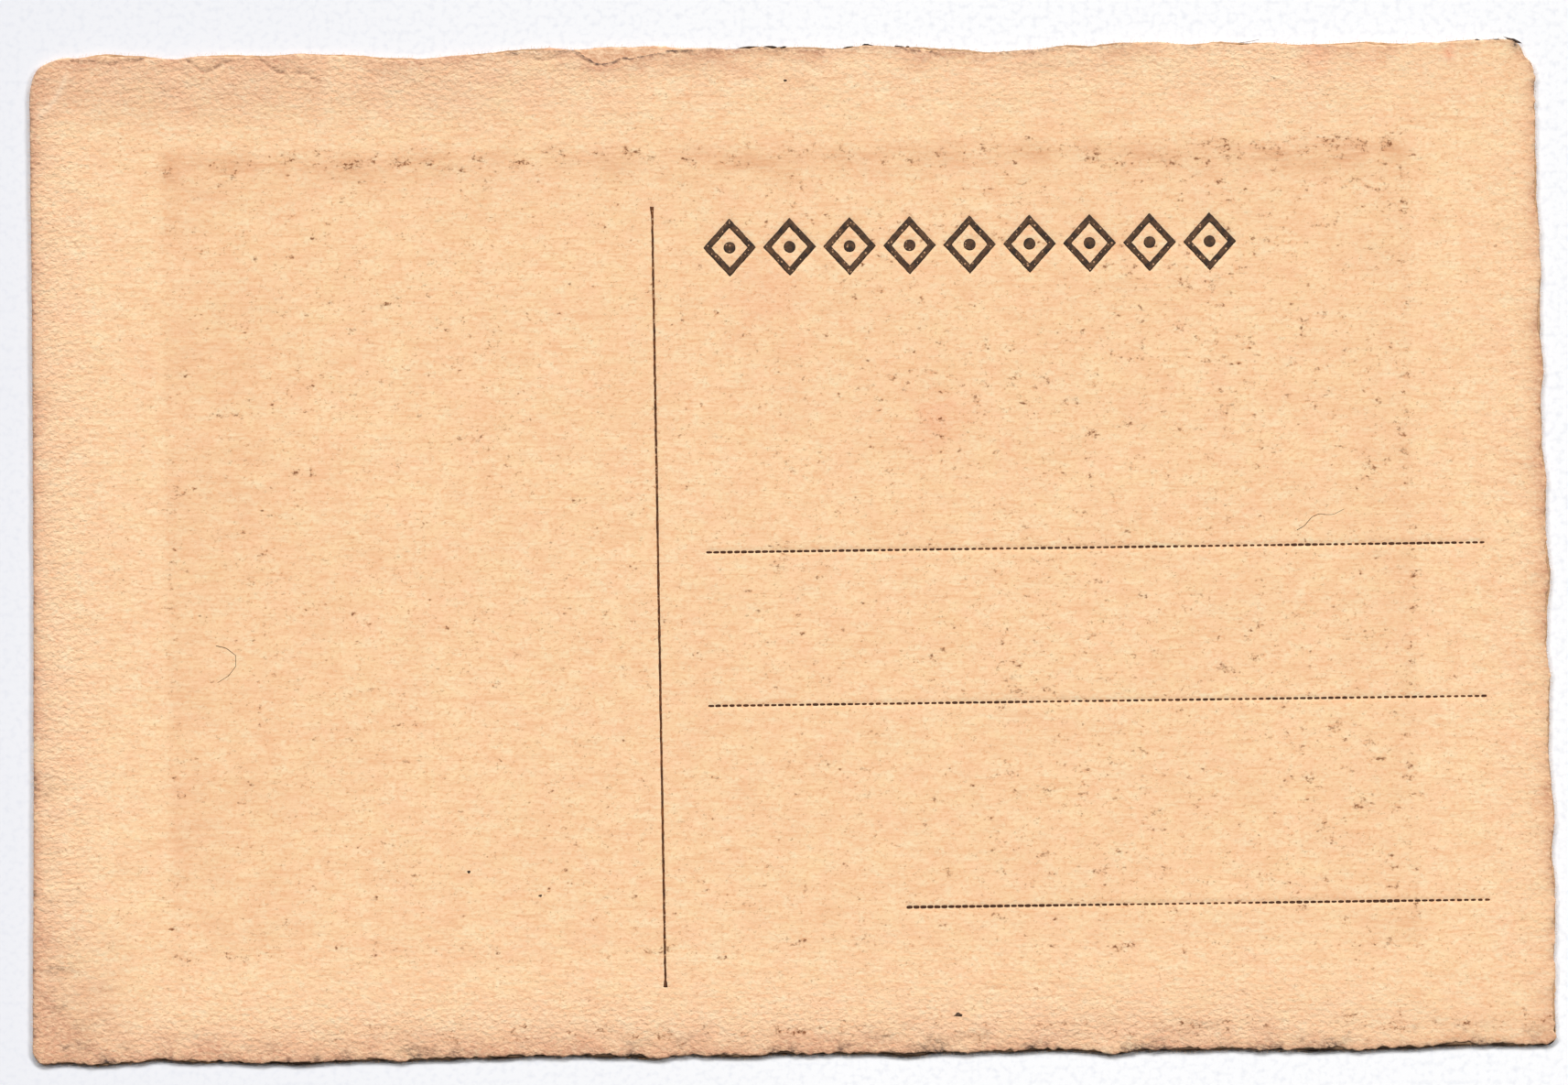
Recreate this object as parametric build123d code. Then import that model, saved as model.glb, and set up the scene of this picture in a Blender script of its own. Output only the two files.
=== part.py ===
from build123d import *
import os
from math import cos, floor, pi, radians, sin, tan

# A picture postcard on heavy deckle-edged board, lying picture side down.
# X runs along its length, Y up its height, Z up through the board.
# The origin is under the card's middle, on the surface that it lies on.

# The card
card_length = 140.0  # mean of the head and foot edges
card_height = 93.0
side_splay = 0.9  # how much further out each short edge stands at the foot than at the head
foot_left_radius = 1.3
foot_right_radius = 0.9
head_right_radius = 3.4
head_left_radius = 3.5
left_edge_hollow = 0.2  # the cut left edge is hollow by this much at its middle

# The board: a core with a facing paper pasted on each side
core_thickness = 0.24
address_facing_thickness = 0.11
picture_facing_thickness = 0.11
paste_thickness = 0.02
paste_inset = 2.0  # the paste stops short of the edges, so the lips of the facings can lift

# The deckle: swells along the three torn edges, each a distance from its edge's first corner, a height
# and a width. The edges run round the card from the foot's left corner. A negative height is a bite.
foot_swells = (
    (6.5, 0.14, 8.0), (11.5, -0.22, 5.0), (24.5, 0.28, 16.0), (34.5, 0.14, 10.0), (48.0, -0.2, 12.0),
    (57.0, 0.15, 7.0), (61.0, -0.16, 4.0), (65.5, 0.2, 7.0), (81.0, 0.26, 8.0), (95.0, -0.14, 5.0),
    (100.0, 0.26, 9.0), (107.0, 0.16, 5.0), (121.0, 0.27, 26.0), (133.0, -0.12, 4.0),
)
right_swells = (
    (13.5, 0.24, 13.0), (21.5, 0.36, 8.0), (33.0, 0.22, 8.0), (43.5, 0.42, 11.0), (51.5, 0.3, 9.0),
    (58.0, -0.08, 4.0), (63.0, 0.26, 7.0), (72.5, 0.2, 14.0),
)
head_swells = (
    (11.5, -0.22, 12.0), (20.5, -0.24, 9.0), (28.5, 0.13, 6.0), (36.5, 0.26, 9.0), (49.5, -0.5, 15.0),
    (61.0, 0.24, 8.0), (70.0, 0.22, 14.0), (83.0, 0.42, 22.0), (92.5, 0.36, 9.0), (103.5, -0.42, 15.0),
    (114.0, 0.12, 9.0), (121.0, 0.18, 6.0), (126.0, -0.18, 5.0), (131.5, 0.34, 8.0),
)
scallop_height = 0.05
scallop_pitch = 4.7
deckle_fade = 3.0  # the deckle dies out this far before each corner
deckle_step = 1.0  # spacing of the points that draw it

# Each facing is torn a little behind the core, and the address side has lost a flake at the head edge
set_back_least = 0.04
set_back_most = 0.2
set_back_pitch = 13.0
address_set_back_turn = 30.0  # degrees along the set-back's wave
picture_set_back_turn = 170.0
address_flake = ((86.3, -1.1, 5.0), (83.5, -0.8, 10.0))

# The ink, laid in the shallow dent that the type and the plate press into the paper
ink_thickness = 0.02
ink_set_down = 0.01  # the ink's face lies this far below the paper's

# The divider between the message and the address
message_width = 58.0  # from the left edge
divider_width = 0.21
divider_lean = 0.3  # the foot stands this much further right than the head
divider_head_gap = 14.4
divider_foot_gap = 6.4
divider_flare_width = 0.4
divider_flare_length = 0.7

# The three beaded address lines, counted up from the foot edge
line_start_gap = 4.5  # from the divider
line_end_gap = 5.5  # from the right edge
lower_line_height = 13.5
middle_line_rise = 18.85
upper_line_rise = 14.2
lower_line_indent = 18.1
dash_pitch = 0.644
dash_length = 0.44
dash_width = 0.22

# The headpiece: a row of open lozenges with a dot in each
headpiece_start_gap = 4.2  # from the divider
headpiece_head_gap = 15.6
stamp_corner_width = 27.0  # left free for the stamp
lozenge_pitch = 5.55
lozenge_length = 4.9
lozenge_height = 5.4
lozenge_stroke = 0.58  # measured square to the sides
dot_diameter = 1.1

# The picture: flat tints inside a border line
picture_left_gap = 12.4
picture_right_gap = 12.0
picture_head_gap = 8.5
picture_foot_gap = 9.7
border_width = 1.3
skyline_step = 4.0  # spacing of the points that draw a skyline
second_wave = 0.4  # height of the shorter wave on each skyline, as a share of the longer one
second_wave_rate = 2.5  # how many shorter waves go to a longer one

# The three lands, from the front to the back: the least depth that shows, then the rolling of the skyline
meadow_depth = 9.0
meadow_swell = 2.2
meadow_pitch = 96.0
meadow_turn = 35.0  # degrees along the wave
hill_depth = 14.0
hill_swell = 3.2
hill_pitch = 74.0
hill_turn = 195.0
ridge_depth = 3.0
ridge_swell = 4.0
ridge_pitch = 47.0
ridge_turn = 60.0

# A row of poplars, each shorter than the one before
tree_count = 3
first_tree_gap = 19.0  # from the panel's right side
tree_pitch = 7.0
tree_foot_gap = 1.5  # from the meadow's lowest dip down to the trees' feet
tree_tip_gap = 1.5  # from the hill's lowest dip down to the first tree's tip
tree_height_step = 3.5
tree_width = 5.0
tree_low_fullness = 0.85  # how far the sides are drawn out, as shares of the width
tree_high_fullness = 0.45
tree_low_pull = 0.15  # where they are drawn out, as shares of the height
tree_high_pull = 0.65

# Levels, from the surface that the card lies on upwards
picture_face = 0.0
lower_paste_level = picture_face + picture_facing_thickness
core_level = lower_paste_level + paste_thickness
upper_paste_level = core_level + core_thickness
address_facing_level = upper_paste_level + paste_thickness
address_face = address_facing_level + address_facing_thickness
dent_depth = ink_thickness + ink_set_down

# Edges at mid height
left_edge = -card_length / 2
right_edge = card_length / 2
foot_edge = -card_height / 2
head_edge = card_height / 2


# The outline of a ply

corners = (
    Vector(left_edge - side_splay / 2, foot_edge),
    Vector(right_edge + side_splay / 2, foot_edge),
    Vector(right_edge - side_splay / 2, head_edge),
    Vector(left_edge + side_splay / 2, head_edge),
)
corner_radii = (foot_left_radius, foot_right_radius, head_right_radius, head_left_radius)


def swell_at(place, swells):
    """How far the swells and bites of an edge stand out at one place."""
    height_there = 0.0
    for middle, height, width in swells:
        away = abs(place - middle) / (width / 2)
        if away < 1:
            height_there += height * (1 + cos(pi * away)) / 2
    return height_there


def scallop_at(place):
    """The fine scallops all along the deckle."""
    return scallop_height * sin(2 * pi * place / scallop_pitch)


def set_back_at(place, turn):
    """How far a facing's torn edge lies behind the core's."""
    share = (1 + sin(2 * pi * place / set_back_pitch + radians(turn))) / 2
    return set_back_least + (set_back_most - set_back_least) * share


def fade_at(step, run):
    """1 along an edge, falling smoothly to 0 at both of its ends."""
    near = min(step, run - step, deckle_fade) / deckle_fade
    return near * near * (3 - 2 * near)


def deckle_line(corner, start, end, swells, set_back):
    """A torn edge from start to end, as a spline that leaves and arrives along the straight edge."""
    along = (end - start).normalized()
    outward = Vector(along.Y, -along.X)
    lead = (start - corner).length
    run = (end - start).length
    count = round(run / deckle_step)
    points = []
    for index in range(count + 1):
        step = run * index / count
        place = lead + step
        stand_out = swell_at(place, swells) + scallop_at(place) - set_back(place)
        points.append(start + along * step + outward * (stand_out * fade_at(step, run)))
    return Spline(*points, tangents=(along, along))


def corner_arc(corner, before, after, radius):
    """The two ends of a rounded corner and the arc between them."""
    into = (corner - before).normalized()
    out = (after - corner).normalized()
    turn = radians(into.get_angle(out))
    reach = radius * tan(turn / 2)
    start = corner - into * reach
    end = corner + out * reach
    inward = (out - into).normalized()
    middle = corner + inward * (radius / cos(turn / 2) - radius)
    return start, end, ThreePointArc(start, middle, end)


def hollow_edge(start, end, hollow):
    """A clean cut edge that is slightly hollow."""
    along = (end - start).normalized()
    inward = Vector(-along.Y, along.X)
    return ThreePointArc(start, (start + end) / 2 + inward * hollow, end)


def ply_outline(set_back, head_flake=()):
    """The face of one ply: three torn edges, a cut left edge and four worn corners."""
    arcs = []
    for index, corner in enumerate(corners):
        after = corners[(index + 1) % len(corners)]
        arcs.append(corner_arc(corner, corners[index - 1], after, corner_radii[index]))
    left_end, foot_start, foot_left_arc = arcs[0]
    foot_end, right_start, foot_right_arc = arcs[1]
    right_end, head_start, head_right_arc = arcs[2]
    head_end, left_start, head_left_arc = arcs[3]
    return make_face([
        deckle_line(corners[0], foot_start, foot_end, foot_swells, set_back),
        foot_right_arc,
        deckle_line(corners[1], right_start, right_end, right_swells, set_back),
        head_right_arc,
        deckle_line(corners[2], head_start, head_end, head_swells + head_flake, set_back),
        head_left_arc,
        hollow_edge(left_start, left_end, left_edge_hollow),
        foot_left_arc,
    ])


def flat_piece(outline, level, thickness):
    """A sheet of the given outline with its underside at the given level."""
    return extrude(Pos(0, 0, level) * outline, amount=thickness, dir=(0, 0, 1))


# The printing on the address side

divider_place = left_edge + message_width
line_start = divider_place + line_start_gap
line_end = right_edge - line_end_gap
lower_line = foot_edge + lower_line_height
middle_line = lower_line + middle_line_rise
upper_line = middle_line + upper_line_rise


def divider_shape():
    """A thin, slightly leaning rule whose ends flare where the type has spread the ink."""
    head = head_edge - divider_head_gap
    foot = foot_edge + divider_foot_gap
    levels = (foot, foot + divider_flare_length, head - divider_flare_length, head)
    widths = (divider_flare_width, divider_width, divider_width, divider_flare_width)
    middles = [divider_place + divider_lean * ((head - level) / (head - foot) - 1 / 2) for level in levels]
    right_side = [(middle + width / 2, level) for middle, width, level in zip(middles, widths, levels)]
    left_side = [(middle - width / 2, level) for middle, width, level in zip(middles, widths, levels)]
    return make_face(Polyline(*right_side, *reversed(left_side), close=True))


def beaded_line(start, height):
    """A row of short dashes from start to the right margin."""
    count = floor((line_end - start - dash_length) / dash_pitch) + 1
    dash = Rectangle(dash_length, dash_width, align=(Align.MIN, Align.CENTER))
    return [Pos(start + index * dash_pitch, height) * dash for index in range(count)]


def lozenge():
    """One open lozenge: a diamond with a smaller diamond cut out of it."""
    half_length = lozenge_length / 2
    half_height = lozenge_height / 2
    side = (half_length**2 + half_height**2) ** 0.5
    inner_share = 1 - lozenge_stroke * side / (half_length * half_height)
    points = [(half_length, 0), (0, half_height), (-half_length, 0), (0, -half_height)]
    inner_points = [(x * inner_share, y * inner_share) for x, y in points]
    return make_face(Polyline(*points, close=True)) - make_face(Polyline(*inner_points, close=True))


def headpiece_places():
    """Where the lozenges stand: as many as fit between the divider and the stamp corner."""
    start = divider_place + headpiece_start_gap
    count = floor((right_edge - stamp_corner_width - start) / lozenge_pitch)
    height = head_edge - headpiece_head_gap - lozenge_height / 2
    return [Pos(start + (index + 1 / 2) * lozenge_pitch, height) for index in range(count)]


address_prints = {
    "divider_rule": [divider_shape()],
    "upper_address_line": beaded_line(line_start, upper_line),
    "middle_address_line": beaded_line(line_start, middle_line),
    "lower_address_line": beaded_line(line_start + lower_line_indent, lower_line),
    "headpiece_lozenges": [place * lozenge() for place in headpiece_places()],
    "headpiece_dots": [place * Circle(dot_diameter / 2) for place in headpiece_places()],
}


# The picture on the underside, drawn as seen through the card from the address side

panel_left = left_edge + picture_left_gap + border_width
panel_right = right_edge - picture_right_gap - border_width
panel_foot = foot_edge + picture_foot_gap + border_width
panel_head = head_edge - picture_head_gap - border_width

swing = 1 + second_wave  # the most that a skyline leaves its middle, in swells
meadow_dip = panel_foot + meadow_depth
hill_dip = meadow_dip + 2 * swing * meadow_swell + hill_depth
ridge_dip = hill_dip + 2 * swing * hill_swell + ridge_depth


def panel_shape(rim):
    """The picture's panel, grown by a rim all round."""
    width = panel_right - panel_left + 2 * rim
    height = panel_head - panel_foot + 2 * rim
    middle = Pos((panel_left + panel_right) / 2, (panel_foot + panel_head) / 2)
    return middle * Rectangle(width, height)


def land(dip, swell, pitch, turn):
    """Everything below a rolling skyline that never falls lower than its dip, as wide as the panel."""
    width = panel_right - panel_left
    count = round(width / skyline_step)
    skyline = []
    for index in range(count + 1):
        angle = 2 * pi * (width * index / count) / pitch + radians(turn)
        rise = swell * (swing + sin(angle) + second_wave * sin(angle * second_wave_rate))
        skyline.append((panel_left + width * index / count, dip + rise))
    sides = Polyline(skyline[-1], (panel_right, panel_foot), (panel_left, panel_foot), skyline[0])
    return make_face([Spline(*skyline), *sides.edges()])


def tree(index):
    """A poplar: a slender drop, fuller low down and pointed at the tip."""
    foot = Vector(panel_right - first_tree_gap - index * tree_pitch, meadow_dip - tree_foot_gap)
    height = hill_dip - tree_tip_gap - foot.Y - index * tree_height_step
    tip = foot + Vector(0, height)
    sides = []
    for across in (tree_width, -tree_width):
        low = foot + Vector(across * tree_low_fullness, height * tree_low_pull)
        high = foot + Vector(across * tree_high_fullness, height * tree_high_pull)
        sides.append(Bezier(foot, low, high, tip))
    return make_face(sides)


def picture_prints():
    """The border and the tints, each stopping where the next one in front of it begins."""
    panel = panel_shape(0)
    trees = [tree(index) & panel for index in range(tree_count)]
    prints = {"picture_border": [panel_shape(border_width) - panel], "picture_trees": trees}
    layers = {
        "picture_meadow": land(meadow_dip, meadow_swell, meadow_pitch, meadow_turn),
        "picture_near_hill": land(hill_dip, hill_swell, hill_pitch, hill_turn),
        "picture_far_ridge": land(ridge_dip, ridge_swell, ridge_pitch, ridge_turn),
        "picture_sky": panel,
    }
    in_front = list(trees)
    for layer_name, shape in layers.items():
        prints[layer_name] = [(shape & panel) - in_front]
        in_front.append(shape)
    return prints


# The pieces

def ink_piece(shapes, level):
    """The film of ink on a set of printed shapes, with its underside at the given level."""
    films = [flat_piece(shape, level, ink_thickness) for shape in shapes]
    return Compound([solid for film in films for solid in film.solids()])


address_dents = [
    flat_piece(shape, address_face - dent_depth, dent_depth)
    for shapes in address_prints.values()
    for shape in shapes
]
picture_dent = flat_piece(panel_shape(border_width), picture_face, dent_depth)

core_outline = ply_outline(lambda place: 0)
address_outline = ply_outline(lambda place: set_back_at(place, address_set_back_turn), address_flake)
picture_outline = ply_outline(lambda place: set_back_at(place, picture_set_back_turn))
paste_outline = offset(make_face(Polyline(*corners, close=True)), -paste_inset)

address_facing = flat_piece(address_outline, address_facing_level, address_facing_thickness)
picture_facing = flat_piece(picture_outline, picture_face, picture_facing_thickness)

pieces = {
    "core_ply": flat_piece(core_outline, core_level, core_thickness),
    "address_side_ply": address_facing - address_dents,
    "picture_side_ply": picture_facing - picture_dent,
    "upper_paste_film": flat_piece(paste_outline, upper_paste_level, paste_thickness),
    "lower_paste_film": flat_piece(paste_outline, lower_paste_level, paste_thickness),
}
for name, shapes in address_prints.items():
    pieces[name] = ink_piece(shapes, address_face - dent_depth)
for name, shapes in picture_prints().items():
    pieces[name] = ink_piece(shapes, picture_face + ink_set_down)

os.makedirs("parts", exist_ok=True)
for name, piece in pieces.items():
    export_step(piece, f"parts/{name}.step")
    print(name, len(piece.solids()), "solids", round(piece.volume, 3), "mm3")
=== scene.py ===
# %% [markdown]
# # An old postcard on heavy deckle-edged board
# A postcard is nearly flat, so everything that makes it look real is small: torn edges, the tooth of the
# paper, ink pressed into it and a century of toning. This lesson dresses a packed CAD model of one. The
# CAD model gives every outline and level, and each step below reads them from it, so nothing has to be
# fitted by eye.

import math

import bpy
import numpy as np
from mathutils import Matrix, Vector
from mathutils.geometry import delaunay_2d_cdt
from mathutils.kdtree import KDTree


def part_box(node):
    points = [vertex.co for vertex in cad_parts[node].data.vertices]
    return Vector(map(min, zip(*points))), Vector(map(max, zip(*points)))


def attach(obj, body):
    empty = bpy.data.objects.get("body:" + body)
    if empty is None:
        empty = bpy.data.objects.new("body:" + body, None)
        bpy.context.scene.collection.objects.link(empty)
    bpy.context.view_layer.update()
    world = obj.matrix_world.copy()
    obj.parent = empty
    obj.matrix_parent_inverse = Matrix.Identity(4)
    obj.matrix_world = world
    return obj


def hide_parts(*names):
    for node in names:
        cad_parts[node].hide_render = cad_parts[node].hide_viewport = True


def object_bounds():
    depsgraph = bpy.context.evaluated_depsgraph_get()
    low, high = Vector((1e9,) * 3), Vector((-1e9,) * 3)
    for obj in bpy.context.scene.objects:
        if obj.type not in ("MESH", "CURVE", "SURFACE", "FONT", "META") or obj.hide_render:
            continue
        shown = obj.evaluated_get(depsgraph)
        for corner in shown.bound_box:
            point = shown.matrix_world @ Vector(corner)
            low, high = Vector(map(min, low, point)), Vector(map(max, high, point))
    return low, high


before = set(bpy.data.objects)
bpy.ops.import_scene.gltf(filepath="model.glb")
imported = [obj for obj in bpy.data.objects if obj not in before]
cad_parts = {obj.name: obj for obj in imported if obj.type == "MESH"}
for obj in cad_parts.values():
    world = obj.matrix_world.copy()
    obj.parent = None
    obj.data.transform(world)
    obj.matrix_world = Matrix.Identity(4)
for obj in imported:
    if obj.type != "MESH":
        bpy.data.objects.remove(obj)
cad_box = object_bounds()
MM = 0.001
card_low, card_high = (np.array(corner) / MM for corner in cad_box)
print("card box in mm:", card_low.round(2), "to", card_high.round(2))

# %% [markdown]
# ## Camera
# The reference is a flatbed scan: the eye is straight above the card and sees no perspective. An
# orthographic camera would do, but a very long lens gives the same picture and still works when the
# camera is moved round the object. The card lies turned by less than a degree on the scanner, so the
# camera is rolled the other way.

# %% Camera
SCAN_WIDTH = 145.04
SCAN_MIDDLE = (-0.35, 0.87)
CARD_TURN = math.radians(0.75)
LENS = 300.0
SENSOR = 36.0

eye = bpy.data.cameras.new("scanner_eye")
eye.lens = LENS
eye.sensor_width = SENSOR
eye.clip_end = 10.0
camera = bpy.data.objects.new("scanner_eye", eye)
camera.location = (
    SCAN_MIDDLE[0] * MM,
    SCAN_MIDDLE[1] * MM,
    (card_high[2] + SCAN_WIDTH * LENS / SENSOR) * MM,
)
camera.rotation_euler = (0.0, 0.0, -CARD_TURN)
bpy.context.scene.collection.objects.link(camera)
bpy.context.scene.camera = camera
print("camera height in m:", round(camera.location.z, 3))

# %% [markdown]
# ## Light
# A scanner's lamp is a long strip at the head of the card. It leaves a thin dark shadow under the foot
# edge and softer ones at both sides. A row of soft suns stands for the strip, and a dim white world fills
# the rest. They are shared out so that a flat white sheet receives exactly 1: then every colour renders
# about as it is written. The world shows the camera the pale tone of the floor, so that the floor's rim
# is not seen.

# %% Light
KEY_SHARE = 0.95
KEY_HEIGHT = math.radians(38)
KEY_TURNS = (-52, -22, 8, 38, 68)
KEY_SOFTNESS = math.radians(12)
WHITE = (1.0, 1.0, 1.0, 1.0)
PALE = (0.93, 0.935, 0.955, 1.0)


def add_node(tree, kind, inputs, **settings):
    """The outputs of a new node whose inputs are each linked to a socket or set to a value."""
    node = tree.nodes.new(kind)
    for name, value in settings.items():
        setattr(node, name, value)
    for name, value in inputs.items():
        if isinstance(value, bpy.types.NodeSocket):
            tree.links.new(value, node.inputs[name])
        else:
            node.inputs[name].default_value = value
    return node.outputs


for number, degrees in enumerate(KEY_TURNS):
    turn = math.radians(degrees)
    lamp = bpy.data.lights.new(f"lamp_strip_{number}", "SUN")
    lamp.energy = KEY_SHARE / len(KEY_TURNS) * math.pi / math.sin(KEY_HEIGHT)
    lamp.angle = KEY_SOFTNESS
    key = bpy.data.objects.new(lamp.name, lamp)
    flat = math.cos(KEY_HEIGHT)
    shine = Vector((-math.sin(turn) * flat, -math.cos(turn) * flat, -math.sin(KEY_HEIGHT)))
    key.rotation_mode = "QUATERNION"
    key.rotation_quaternion = shine.to_track_quat("-Z", "Y")
    bpy.context.scene.collection.objects.link(key)
bpy.context.scene.view_settings.view_transform = "Standard"

world = bpy.data.worlds.new("even_fill")
world.use_nodes = True
sky = world.node_tree
fill = sky.nodes["Background"]
fill.inputs["Color"].default_value = WHITE
fill.inputs["Strength"].default_value = 1.0 - KEY_SHARE
beyond = add_node(sky, "ShaderNodeBackground", {"Color": PALE})[0]
ray = add_node(sky, "ShaderNodeLightPath", {})
inputs = {0: ray["Is Camera Ray"], 1: ray["Is Glossy Ray"]}
either = add_node(sky, "ShaderNodeMath", inputs, operation="MAXIMUM")[0]
choice = add_node(sky, "ShaderNodeMixShader", {0: either, 1: fill.outputs[0], 2: beyond})[0]
sky.links.new(choice, sky.nodes["World Output"].inputs["Surface"])
bpy.context.scene.world = world
print("energy of each sun:", round(lamp.energy, 3))

# %% [markdown]
# ## A small kit for finishes
# Every finish on the card is a Principled shader whose colour is mixed from noise and from painted masks.
# Wiring nodes by hand takes many lines, so these classes have one short method for each kind of node. It
# hands back the output socket, and the next call takes that as an input. All patterns read Object
# coordinates in millimetres.

# %% Finishes
PATTERN_SHIFT = (0.031, 0.017, 0.0)
SPECK_LEAST = 0.45
SPECK_CORE = 0.45


def srgb(red, green, blue):
    """A colour picked on a screen, from 0 to 255, as the linear colour that Blender mixes."""
    shares = np.array([red, green, blue]) / 255
    linear = np.where(shares <= 0.04045, shares / 12.92, ((shares + 0.055) / 1.055) ** 2.4)
    return (*linear.tolist(), 1.0)


class NodeKit:
    """A node tree that grows one node at a time."""

    def add(self, kind, inputs, **settings):
        return add_node(self.tree, kind, inputs, **settings)

    def span(self, value, low, high, start=0.0, end=1.0):
        """The value with low to high turned into start to end, and cut off beyond."""
        inputs = {"Value": value, "From Min": low, "From Max": high, "To Min": start, "To Max": end}
        return self.add("ShaderNodeMapRange", inputs)[0]

    def maths(self, operation, first, second):
        return self.add("ShaderNodeMath", {0: first, 1: second}, operation=operation)[0]

    def product(self, first, second):
        return self.maths("MULTIPLY", first, second)


class Finish(NodeKit):
    """A material. Its name, roughness and gloss are given, and its colour is built up."""

    def __init__(self, name, roughness, gloss):
        self.material = bpy.data.materials.new(name)
        self.material.use_nodes = True
        self.tree = self.material.node_tree
        self.shader = self.tree.nodes["Principled BSDF"]
        self.shader.inputs["Roughness"].default_value = roughness
        self.shader.inputs["Specular IOR Level"].default_value = gloss
        self.where = self.tree.nodes.new("ShaderNodeTexCoord").outputs["Object"]

    def places(self, size, turn=0.0, shift=0):
        """Object coordinates counted in steps of size millimetres, along axes turned by some degrees."""
        sizes = size if isinstance(size, tuple) else (size, size, size)
        inputs = {
            "Vector": self.where,
            "Location": tuple(step * shift for step in PATTERN_SHIFT),
            "Rotation": (0.0, 0.0, math.radians(turn)),
            "Scale": tuple(step * MM for step in sizes),
        }
        return self.add("ShaderNodeMapping", inputs, vector_type="TEXTURE")[0]

    def noise(self, size, detail=2.0, rough=0.5, warp=0.0, turn=0.0, shift=0):
        """Cloudy noise from 0 to 1 with waves about size millimetres long."""
        inputs = {"Vector": self.places(size, turn, shift), "Scale": 1.0, "Detail": detail}
        inputs.update({"Roughness": rough, "Distortion": warp})
        return self.add("ShaderNodeTexNoise", inputs)["Fac"]

    def mix(self, amount, base, layer):
        return self.add("ShaderNodeMix", {0: amount, 6: base, 7: layer}, data_type="RGBA")[2]

    def painted(self, mask):
        """A mask that is stored on the points of the mesh."""
        return self.add("ShaderNodeAttribute", {}, attribute_name=mask)["Fac"]

    def specks(self, cell, radius, share, shift=0):
        """Round specks from 0 to 1. One cell in so many holds a speck, and no two are of one size."""
        inputs = {"Vector": self.places(cell, shift=shift), "Scale": 1.0}
        cells = self.add("ShaderNodeTexVoronoi", inputs, voronoi_dimensions="2D")
        luck = self.add("ShaderNodeSeparateColor", {0: cells["Color"]})
        held = self.maths("LESS_THAN", luck["Red"], share)
        size = self.span(luck["Green"], 0.0, 1.0, SPECK_LEAST * radius / cell, radius / cell)
        spot = self.span(self.maths("DIVIDE", cells["Distance"], size), SPECK_CORE, 1.0, 1.0, 0.0)
        return self.product(held, spot)

    def bump(self, height, depth):
        """Relief finer than the mesh, with its depth in millimetres."""
        inputs = {"Height": height, "Strength": 1.0, "Distance": depth * MM}
        self.tree.links.new(self.add("ShaderNodeBump", inputs)[0], self.shader.inputs["Normal"])

    def colour(self, socket):
        self.tree.links.new(socket, self.shader.inputs["Base Color"])
        return self.material


print("finish kit:", ", ".join(name for name in vars(Finish) if not name.startswith("_")))

# %% [markdown]
# ## Floor
# The card lies on the white lid of the scanner. A single large square stands for it and catches the
# shadow. Its colour holds a painted shade that runs from a bluish grey on the left to white on the right,
# and a little grit.

# %% Floor
FLOOR_HALF = 1.5
FLOOR_SHADE = (-0.1, 0.01)
FLOOR_SHADE_GREY = srgb(236, 237, 243)
FLOOR_WHITE = srgb(254, 254, 255)
FLOOR_GRIT = srgb(228, 230, 238)

floor_mesh = bpy.data.meshes.new("floor")
floor_corners = [(x * FLOOR_HALF, y * FLOOR_HALF, 0.0) for x, y in ((-1, -1), (1, -1), (1, 1), (-1, 1))]
floor_mesh.from_pydata(floor_corners, [], [(0, 1, 2, 3)])
floor = bpy.data.objects.new("floor", floor_mesh)
bpy.context.scene.collection.objects.link(floor)
pale_sheet = Finish("pale_sheet", roughness=0.95, gloss=0.05)
across = pale_sheet.add("ShaderNodeSeparateXYZ", {0: pale_sheet.where})["X"]
# painted shade: the floor darkens towards the left
shade = pale_sheet.span(across, *FLOOR_SHADE, 0.0, 0.9)
clouds = pale_sheet.span(pale_sheet.noise(25.0, detail=4.0, rough=0.6), 0.3, 0.7, 0.0, 0.1)
tone = pale_sheet.mix(pale_sheet.maths("ADD", shade, clouds), FLOOR_SHADE_GREY, FLOOR_WHITE)
grit = pale_sheet.span(pale_sheet.noise(0.6, detail=2.0, shift=1), 0.48, 0.75, 0.0, 0.5)
floor_mesh.materials.append(pale_sheet.colour(pale_sheet.mix(grit, tone, FLOOR_GRIT)))
print("floor half width in m:", FLOOR_HALF)

# %% [markdown]
# ## Outlines from the CAD model
# A CAD face arrives as triangles. An edge that belongs to only one triangle of the face lies on an
# outline, and following such edges from corner to corner gives closed loops. The longest loop of a ply is
# its torn edge, and the small ones are the dents that the type has pressed into it.

# %% Outlines
LEVEL_SLACK = 0.001
FEWEST_STEPS = 8
ADDRESS_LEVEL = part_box("address_side_ply")[1].z / MM
ADDRESS_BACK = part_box("address_side_ply")[0].z / MM
PICTURE_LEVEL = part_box("picture_side_ply")[0].z / MM
PICTURE_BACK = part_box("picture_side_ply")[1].z / MM


def loop_length(loop):
    return np.hypot(*(np.roll(loop, -1, 0) - loop).T).sum()


def signed_area(loop):
    following = np.roll(loop, -1, 0)
    return (loop[:, 0] * following[:, 1] - following[:, 0] * loop[:, 1]).sum() / 2


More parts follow.
